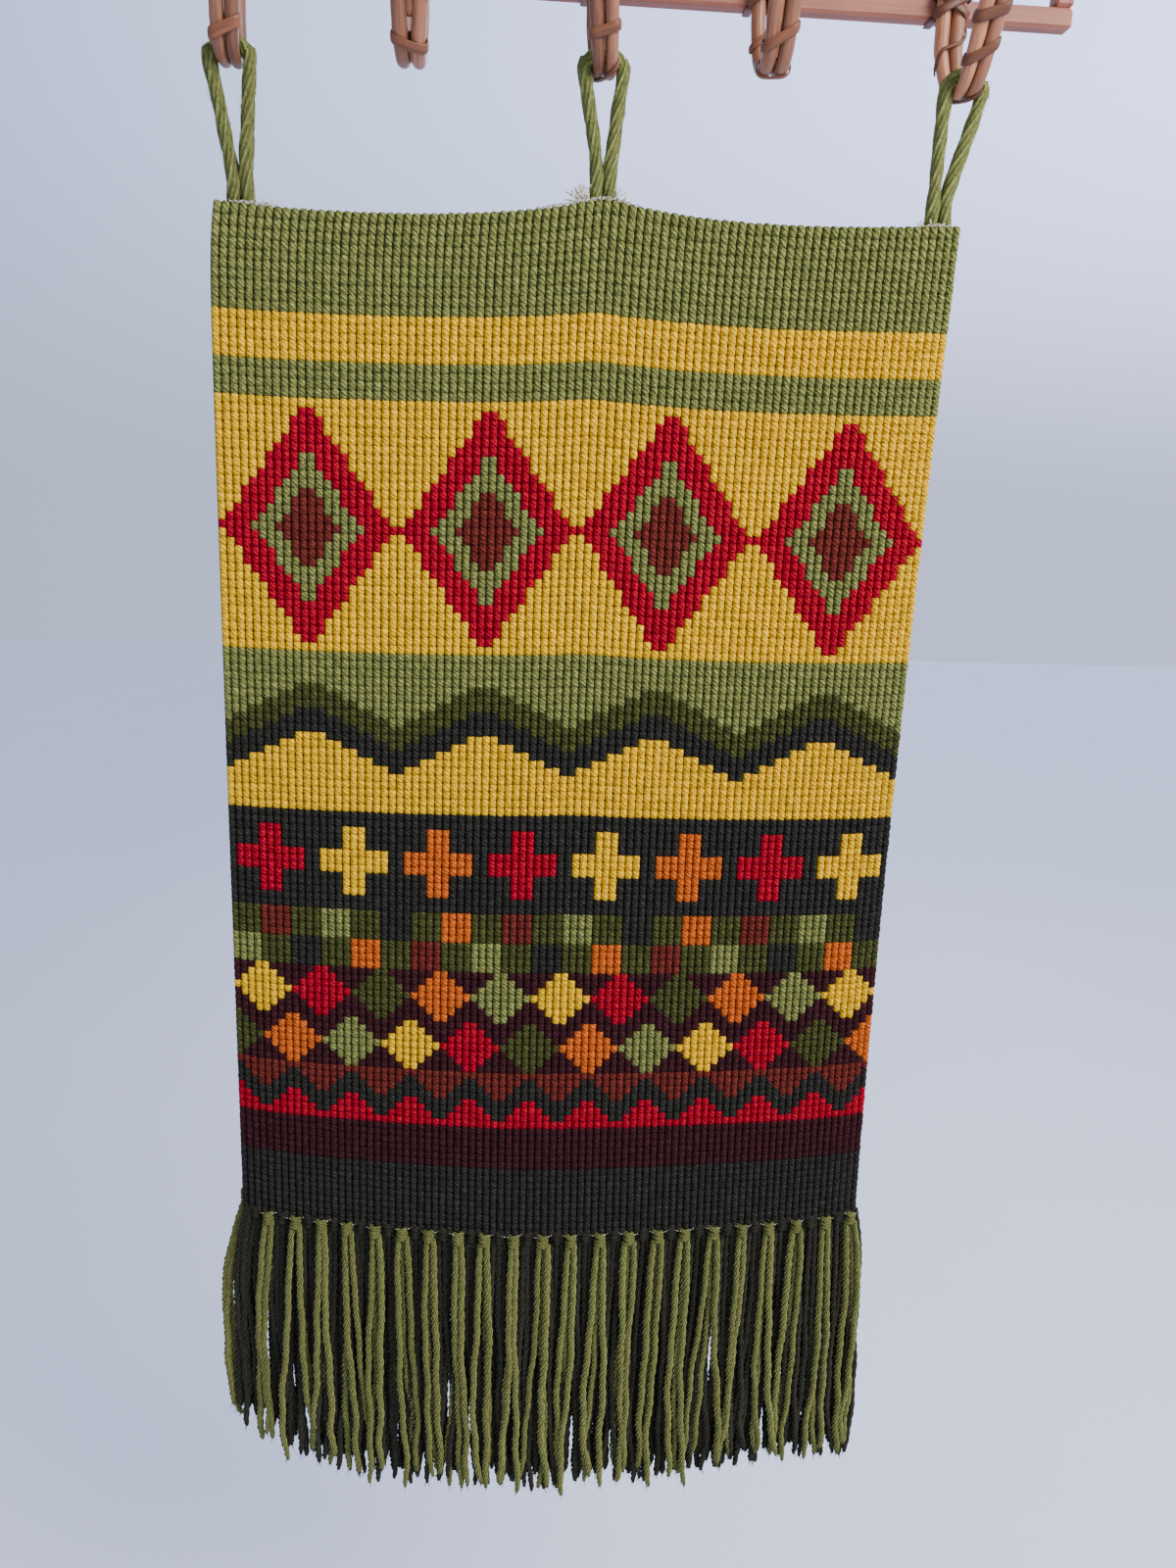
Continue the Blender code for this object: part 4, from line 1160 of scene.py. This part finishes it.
def make_canes(colours):
    """Two canes for each hook, and a short filler cane where the second hook's canes part."""
    rng = np.random.default_rng(17)
    material = cane_material("cane_skin", colours.cane, colours.cane_streak)
    made = []
    for hook in HOOKS:
        line = HookLine(hook)
        blocks = [cane_tube(line, sign, line.along[0], line.along[-1], rng, offset_scale=0.965) for sign in (-1, 1)]
        if HOOKS[hook][5] > 0:
            blocks.append(cane_tube(line, 0, 0.026, line.along[-1] - 0.002, rng, radius_scale=0.62))
        points, faces, uvs, tones, ridges = join_blocks(blocks, rng, HOOK_TONES_AND_PAINTED_LIGHT[hook])
        piece = add_piece(
            f"{hook}_canes", points, faces, material, uv=uvs, values={"tone": tones, "rise": ridges}
        )
        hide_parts(f"{hook}_cane_left", f"{hook}_cane_right")
        made.append(piece)
    return made


def strip_mesh(path, outward, width, thickness, closed, v_start):
    """Flat strip with soft edges along a path: across it runs the cross product of its direction and
    its outward normal, and its middle stands a little higher than its edges."""
    if closed:
        direction = unit(np.roll(path, -1, 0) - np.roll(path, 1, 0))
    else:
        direction = unit(np.gradient(path, axis=0))
    outward = unit(outward - direction * np.sum(outward * direction, axis=1, keepdims=True))
    across = np.cross(direction, outward)
    # place across the width and out from the cane, round the strip's outline
    outline = np.array([(-0.5, 0.15), (0.5, 0.15), (0.5, 0.6), (0.3, 0.95), (0.0, 1.05), (-0.3, 0.95), (-0.5, 0.6)])
    wide = outline[:, :1] * np.broadcast_to(width, len(path))[:, None, None]
    points = path[:, None] + across[:, None] * wide + outward[:, None] * (outline[:, 1:] * thickness)
    steps = np.linalg.norm(np.diff(path, axis=0), axis=1)
    along = np.concatenate([[0], np.cumsum(steps)]) * 1000 + v_start
    closed_outline = np.concatenate([outline, outline[:1]]) * [np.mean(width), thickness]
    lengths = np.linalg.norm(np.diff(closed_outline, axis=0), axis=1)
    around = 1000 * np.concatenate([[0], np.cumsum(lengths)])
    uv = tube_uv(np.broadcast_to(around, (1, len(path), 8)), along[None, :, None], closed)
    # painted shade: darker at the strip's underside and edges, where it lies against the cane
    rise = np.broadcast_to(np.clip(outline[:, 1] + 0.2, 0, 1), (1, len(path), 7))
    return points[None], uv, rise


def peel_turn(line, place, slant, width, rng):
    """A turn of peel round both canes: the outline of two circles side by side. Its height along the
    canes rises in step with x, or a wide one with the angle, as a helix that ends behind the canes."""
    closed = abs(slant) < 0.02
    turn = np.linspace(0, 2 * math.pi, 44, endpoint=False)
    along = np.full(len(turn), place)
    if not closed:
        turn = np.linspace(-0.24 * math.pi, 1.12 * math.pi, 44)
        along = place + slant * (math.pi / 2 - turn) / math.pi
    radius, offset = line.at(along)[2:]
    radius = radius + 0.0002
    x = np.cos(turn) * radius + offset * np.tanh(4 * np.cos(turn))
    out = np.sin(turn) * radius
    if closed:
        along = place + slant * x / (2 * (radius + offset))
    point, tangent, _, _ = line.at(along)
    first = unit(np.array([1.0, 0, 0]) - tangent * tangent[:, :1])
    second = np.cross(tangent, first)
    path = point + first * x[:, None] + second * out[:, None]
    outward = first * np.cos(turn)[:, None] + second * np.sin(turn)[:, None]
    return strip_mesh(path, outward, width, 0.0011, closed, rng.uniform(0, 500))


def lashing(hook, rail_z, slope, level, rng):
    """Peel that crosses over both canes and is tucked round the rail's edges, up to the wall's plane."""
    hook_x, back_shift = HOOKS[hook][0], HOOKS[hook][3]
    clear = BACK_CANE_RADIUS + 0.0004 + 0.0009 * level
    half = BACK_CANE_RADIUS + CANE_PARTING
    foot_y = -(RAIL_SIDE + 0.0006 + 0.0004 * level)
    end_x = half + clear - 0.0010
    edge_z = RAIL_SIDE / 2 + 0.0007
    points = [(-end_x, -0.0012, slope * edge_z), (-end_x, foot_y + 0.0012, slope * edge_z)]
    points.append((-end_x, foot_y, slope * (edge_z - 0.0016)))
    profile = [(-half, 180), (-half, 205), (-half, 235), (-half, 270), (half, 270), (half, 305), (half, 335), (half, 360)]
    for side, degrees in profile:
        out = math.radians(degrees)
        x = side + clear * math.cos(out)
        points.append((x, CANE_Y + clear * math.sin(out), -slope * (edge_z - 0.0016) * x / end_x))
    points += [(-a, b, -c) for a, b, c in points[2::-1]]
    path = smooth_path([(hook_x + back_shift + a, b, rail_z + c) for a, b, c in points], 0.0011)[0]
    side = path[:, 0] - hook_x - back_shift
    outward = np.stack([
        0.9 * np.sin(side / end_x * 1.3) * np.clip((end_x - np.abs(side)) / 0.0015, 0, 1),
        np.where(path[:, 1] < foot_y + 0.0015, -1.0, -0.02),
        np.where(path[:, 1] < foot_y + 0.0015, 0.0, np.sign(path[:, 2] - rail_z)),
    ], -1)
    return strip_mesh(path, outward, 0.0052, 0.0009, False, rng.uniform(0, 500))


def make_peel(colours):
    """Peel on each hook: the slanting turns round its canes, and a crossed lashing at each rail."""
    rng = np.random.default_rng(29)
    material = cane_material("peel_skin", colours.peel, colours.cane_streak, gloss=0.45)
    made = []
    for hook in HOOKS:
        line = HookLine(hook)
        turns = [entry[1:] for entry in PEEL_TURNS if entry[0] == hook]
        blocks = [peel_turn(line, place, slant, width, rng) for place, slant, width in turns]
        points, faces, start = [], [], 0
        uvs, painted_shade_heights = [], []
        for (block, uv, rise), (_, slant, _) in zip(blocks, turns):
            faces += [group + start for group in tube_faces(*block.shape[:3], closed=abs(slant) < 0.02)]
            start += block.size // 3
            points.append(block.reshape(-1, 3))
            uvs.append(uv)
            painted_shade_heights.append(rise.ravel())
        for rail_z in (0.0, RACK_RISE):
            for level, slope in enumerate((1, -1)):
                block, uv, rise = lashing(hook, rail_z, slope, level, rng)
                faces += [group + start for group in tube_faces(*block.shape[:3])]
                start += block.size // 3
                points.append(block.reshape(-1, 3))
                uvs.append(uv)
                painted_shade_heights.append(rise.ravel())
        painted_shade_heights = np.concatenate(painted_shade_heights)
        piece = add_piece(
            f"{hook}_peel", np.concatenate(points), faces, material, uv=np.concatenate(uvs),
            values={"rise": painted_shade_heights, "tone": np.full(len(painted_shade_heights), HOOK_TONES_AND_PAINTED_LIGHT[hook][2])},
        )
        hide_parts(f"{hook}_wrap", f"{hook}_binding_lower", f"{hook}_binding_upper")
        made.append(piece)
    return made


# Operators


def sizes_of(context):
    return context.scene.hanging


class HangingSettings(bpy.types.PropertyGroup):
    """All the settings of the hanging."""

    stitches: PointerProperty(type=StitchSizes)
    fringe: PointerProperty(type=FringeSizes)
    cords: PointerProperty(type=CordSizes)
    yarns: PointerProperty(type=YarnColours)
    rack: PointerProperty(type=RackColours)
    stage: PointerProperty(type=StageSettings)


class HANGING_OT_rack(bpy.types.Operator):
    """Give the rack's sticks their wood"""

    bl_idname = "hanging.rack"
    bl_label = "Rack"

    def execute(self, context):
        rack = sizes_of(context).rack
        streak = tuple(0.62 * value for value in rack.rail)
        woods = {0: grain_material("rail_wood_across", rack.rail, streak, 0)}
        woods[2] = grain_material("rail_wood_upright", rack.rail, streak, 2)
        for name, axis in (("rail_lower", 0), ("rail_upper", 0), ("upright_left", 2), ("upright_right", 2)):
            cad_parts[name].data.materials.clear()
            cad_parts[name].data.materials.append(woods[axis])
        return {"FINISHED"}


class HANGING_OT_canes(bpy.types.Operator):
    """Build the canes of the hooks"""

    bl_idname = "hanging.canes"
    bl_label = "Canes"

    def execute(self, context):
        make_canes(sizes_of(context).rack)
        return {"FINISHED"}


class HANGING_OT_peel(bpy.types.Operator):
    """Wind the peel round the canes and rails"""

    bl_idname = "hanging.peel"
    bl_label = "Peel"

    def execute(self, context):
        make_peel(sizes_of(context).rack)
        return {"FINISHED"}


class HANGING_OT_loops(bpy.types.Operator):
    """Build the three hanging loops"""

    bl_idname = "hanging.loops"
    bl_label = "Loops"

    def execute(self, context):
        settings = sizes_of(context)
        make_loops(settings.cords, settings.yarns)
        return {"FINISHED"}


class HANGING_OT_stitches(bpy.types.Operator):
    """Work the cross stitches, one piece for each yarn"""

    bl_idname = "hanging.stitches"
    bl_label = "Stitches"

    def execute(self, context):
        settings = sizes_of(context)
        make_stitches(settings.stitches, settings.yarns)
        return {"FINISHED"}


class HANGING_OT_fringe(bpy.types.Operator):
    """Knot the fringe, light yarn in front and dark yarn between"""

    bl_idname = "hanging.fringe"
    bl_label = "Fringe"

    def execute(self, context):
        settings = sizes_of(context)
        fringe, yarns = settings.fringe, settings.yarns
        heads = light_heads(fringe.light_tassels)
        hidden = np.zeros(len(heads))
        hidden[0] = 0.009
        places = [(-0.0029, 0.0016), (0.0029, 0.0018), (0.0002, -0.0016)]
        make_fringe(
            "light_tassels", "fringe_light", "fringe_light", places, 0.0014, 0.85, heads, hidden,
            0.0006, 0.0040, 41, fringe, yarns,
        )
        between = (heads[1:-1] + heads[2:]) / 2
        heads = np.concatenate([[0.023], between, [0.985]])
        places = [(x, 0.0004) for x in (-0.0084, -0.0042, 0.0, 0.0042, 0.0084)]
        places += [(x, -0.0044) for x in (-0.0077, -0.0026, 0.0025, 0.0076)]
        make_fringe(
            "dark_tassels", "fringe_dark", "fringe_dark", places, 0.0005, 0.10, heads, np.zeros(len(heads)),
            -0.0036, -0.0030, 43, fringe, yarns,
        )
        return {"FINISHED"}


class HANGING_OT_thread(bpy.types.Operator):
    """Sew the cream thread"""

    bl_idname = "hanging.thread"
    bl_label = "Sewing thread"

    def execute(self, context):
        settings = sizes_of(context)
        make_thread(settings.stitches, settings.fringe, settings.yarns)
        return {"FINISHED"}


class HANGING_OT_canvas(bpy.types.Operator):
    bl_idname = "hanging.canvas"
    bl_label = "Canvas"

    def execute(self, context):
        settings = sizes_of(context)
        canvas = make_canvas(settings.stitches, settings.yarns)
        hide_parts("panel")
        return {"FINISHED"}


class HANGING_OT_stage(bpy.types.Operator):
    """Set the floor, the lights, the surroundings and the camera"""

    bl_idname = "hanging.stage"
    bl_label = "Stage"

    def execute(self, context):
        stage = sizes_of(context).stage
        scene = context.scene
        make_floor(stage)
        make_lights(stage)
        make_camera(scene)
        return {"FINISHED"}


def make_floor(stage):
    """Pale floor: a wide square grid below the lowest strand, with faint mottle and painted light that brightens it
    towards the right.
    """
    reach = np.linspace(-9, 9, 7)
    x, y = np.meshgrid(reach, reach)
    z = np.full(x.shape, CAD_LOW[2] - stage.floor_drop)
    index = np.arange(49).reshape(7, 7)
    quads = np.stack([index[:-1, :-1], index[:-1, 1:], index[1:, 1:], index[1:, :-1]], -1).reshape(-1, 4)
    mesh = bpy.data.meshes.new("floor")
    mesh.from_pydata(np.stack([x, y, z], -1).reshape(-1, 3).tolist(), [], quads.tolist())
    surface = Surface("floor_paint", roughness=0.9)
    coordinates = surface.node("ShaderNodeTexCoord").outputs["Object"]
    mottle = surface.noise(coordinates, scale=3.0)
    side = surface.node("ShaderNodeSeparateXYZ", {0: coordinates}).outputs[0]
    # painted light: the floor's colour grows from left to right, as the light from the right would make it
    shade = surface.times(surface.ramp(mottle, 0.99, 1.01), surface.ramp(side, 0.84, 1.12, -1.2, 1.2))
    base = surface.shaded(rgba(stage.floor), shade)
    mesh.materials.append(surface.finish(base, mottle, 0.0005, 0.2))
    floor = bpy.data.objects.new("floor", mesh)
    bpy.context.scene.collection.objects.link(floor)


def add_area_light(name, place, target, size, power, tint):
    light = bpy.data.lights.new(name, "AREA")
    light.shape = "RECTANGLE"
    light.size, light.size_y = size
    light.energy = power
    light.color = tint
    made = bpy.data.objects.new(name, light)
    back = unit(np.array(place, float) - np.array(target, float))
    across = unit(np.cross([0.0, 0.0, 1.0], back))
    up = np.cross(back, across)
    turned = Matrix(np.stack([across, up, back], 1).tolist()).to_4x4()
    turned.translation = place
    made.matrix_world = turned
    bpy.context.scene.collection.objects.link(made)


def make_lights(stage):
    """Soft window-like light from the upper right, a weak fill, a light for the back and pale surroundings."""
    middle = ((CAD_LOW + CAD_HIGH) / 2)[:]
    add_area_light("key", (1.0, -1.15, 0.55), middle, (0.9, 0.9), stage.key_power, (1.0, 0.98, 0.95))
    add_area_light("fill", (-1.9, -1.5, -0.2), middle, (1.4, 1.8), stage.fill_power, (0.92, 0.96, 1.0))
    add_area_light("back", (0.6, 2.0, 0.8), middle, (1.8, 1.8), stage.back_power, (1.0, 1.0, 1.0))
    make_surroundings(stage)


def make_surroundings(stage):
    """World light by direction: one colour in front of the hanging and one behind it, both growing
    from left to right, and an even one at the horizon, where the floor ends."""
    world = bpy.data.worlds.new("surround")
    bpy.context.scene.world = world
    world.use_nodes = True
    tree = world.node_tree

    def node(kind, inputs, **settings):
        made = tree.nodes.new(kind)
        for key, value in settings.items():
            setattr(made, key, value)
        for key, value in inputs.items():
            if isinstance(value, bpy.types.NodeSocket):
                tree.links.new(value, made.inputs[key])
            else:
                made.inputs[key].default_value = value
        return made.outputs

    direction = node("ShaderNodeTexCoord", {})["Generated"]
    parts = node("ShaderNodeSeparateXYZ", {0: direction})
    behind = node("ShaderNodeMapRange", {0: parts[1], 1: -0.2, 2: 0.5, 3: 0.0, 4: 1.0})[0]
    low, high = 1 - stage.side_light, 1 + stage.side_light
    side = node("ShaderNodeMapRange", {0: parts[0], 1: -0.6, 2: 0.6, 3: low, 4: high})[0]
    strengths = {0: behind, 2: stage.front_strength, 3: stage.behind_strength}
    strength = node("ShaderNodeMix", strengths, data_type="FLOAT")[0]
    strength = node("ShaderNodeMath", {0: strength, 1: side}, operation="MULTIPLY")[0]
    above = node("ShaderNodeMapRange", {0: parts[2], 1: 0.0, 2: 0.32}, interpolation_type="SMOOTHSTEP")[0]
    level = node("ShaderNodeMapRange", {0: parts[0], 1: -0.6, 2: 0.6, 3: 0.85, 4: 1.15})[0]
    level = node("ShaderNodeMath", {0: level, 1: stage.horizon_strength}, operation="MULTIPLY")[0]
    strength = node("ShaderNodeMix", {0: above, 2: level, 3: strength}, data_type="FLOAT")[0]
    colours = {0: behind, 6: rgba(stage.front), 7: rgba(stage.behind)}
    tint = node("ShaderNodeMix", colours, data_type="RGBA")[2]
    tint = node("ShaderNodeMix", {0: above, 6: rgba(stage.horizon), 7: tint}, data_type="RGBA")[2]
    tree.links.new(tint, tree.nodes["Background"].inputs["Color"])
    tree.links.new(strength, tree.nodes["Background"].inputs["Strength"])


# The camera: place and directions worked out from the photo's perspective
CAMERA_PLACE = (-0.0555, -0.8097, -0.3095)
CAMERA_RIGHT = (0.99706, -0.06916, 0.03277)
CAMERA_UP = (-0.01630, 0.22653, 0.97387)
CAMERA_LENS_MM = 27.0
SENSOR_MM = 36.0


def make_camera(scene):
    """Phone-like camera in front of the panel, looking thirteen degrees down."""
    data = bpy.data.cameras.new("camera")
    data.lens = CAMERA_LENS_MM
    data.sensor_fit = "AUTO"
    data.sensor_width = SENSOR_MM
    data.clip_start = 0.01
    camera = bpy.data.objects.new("camera", data)
    right = unit(np.array(CAMERA_RIGHT))
    up = unit(np.array(CAMERA_UP) - right * np.dot(right, CAMERA_UP))
    back = np.cross(right, up)
    turned = Matrix(np.stack([right, up, back], 1).tolist()).to_4x4()
    turned.translation = CAMERA_PLACE
    camera.matrix_world = turned
    scene.collection.objects.link(camera)
    scene.camera = camera


class HANGING_PT_panel(bpy.types.Panel):
    """The hanging's settings and steps"""

    bl_idname = "HANGING_PT_panel"
    bl_label = "Stitched hanging"
    bl_space_type = "VIEW_3D"
    bl_region_type = "UI"
    bl_category = "Hanging"

    def draw(self, context):
        settings = sizes_of(context)
        for key in ("stitches", "fringe", "cords", "yarns", "rack", "stage"):
            box = self.layout.box()
            box.label(text=key.capitalize())
            group = getattr(settings, key)
            for name in group.bl_rna.properties.keys():
                if name not in ("rna_type", "name"):
                    box.prop(group, name)
        for step in STEPS:
            self.layout.operator(step.bl_idname)


STEPS = (
    HANGING_OT_stage,
    HANGING_OT_loops,
    HANGING_OT_rack,
    HANGING_OT_canes,
    HANGING_OT_peel,
    HANGING_OT_stitches,
    HANGING_OT_fringe,
    HANGING_OT_thread,
    HANGING_OT_canvas,
)
GROUPS = (StitchSizes, FringeSizes, CordSizes, YarnColours, RackColours, StageSettings, HangingSettings)


def register():
    for item in GROUPS + STEPS + (HANGING_PT_panel,):
        bpy.utils.register_class(item)
    bpy.types.Scene.hanging = PointerProperty(type=HangingSettings)


def unregister():
    del bpy.types.Scene.hanging
    for item in reversed(GROUPS + STEPS + (HANGING_PT_panel,)):
        bpy.utils.unregister_class(item)


def main():
    register()
    for step in STEPS:
        group, name = step.bl_idname.split(".")
        getattr(getattr(bpy.ops, group), name)()


if __name__ == "__main__":
    main()
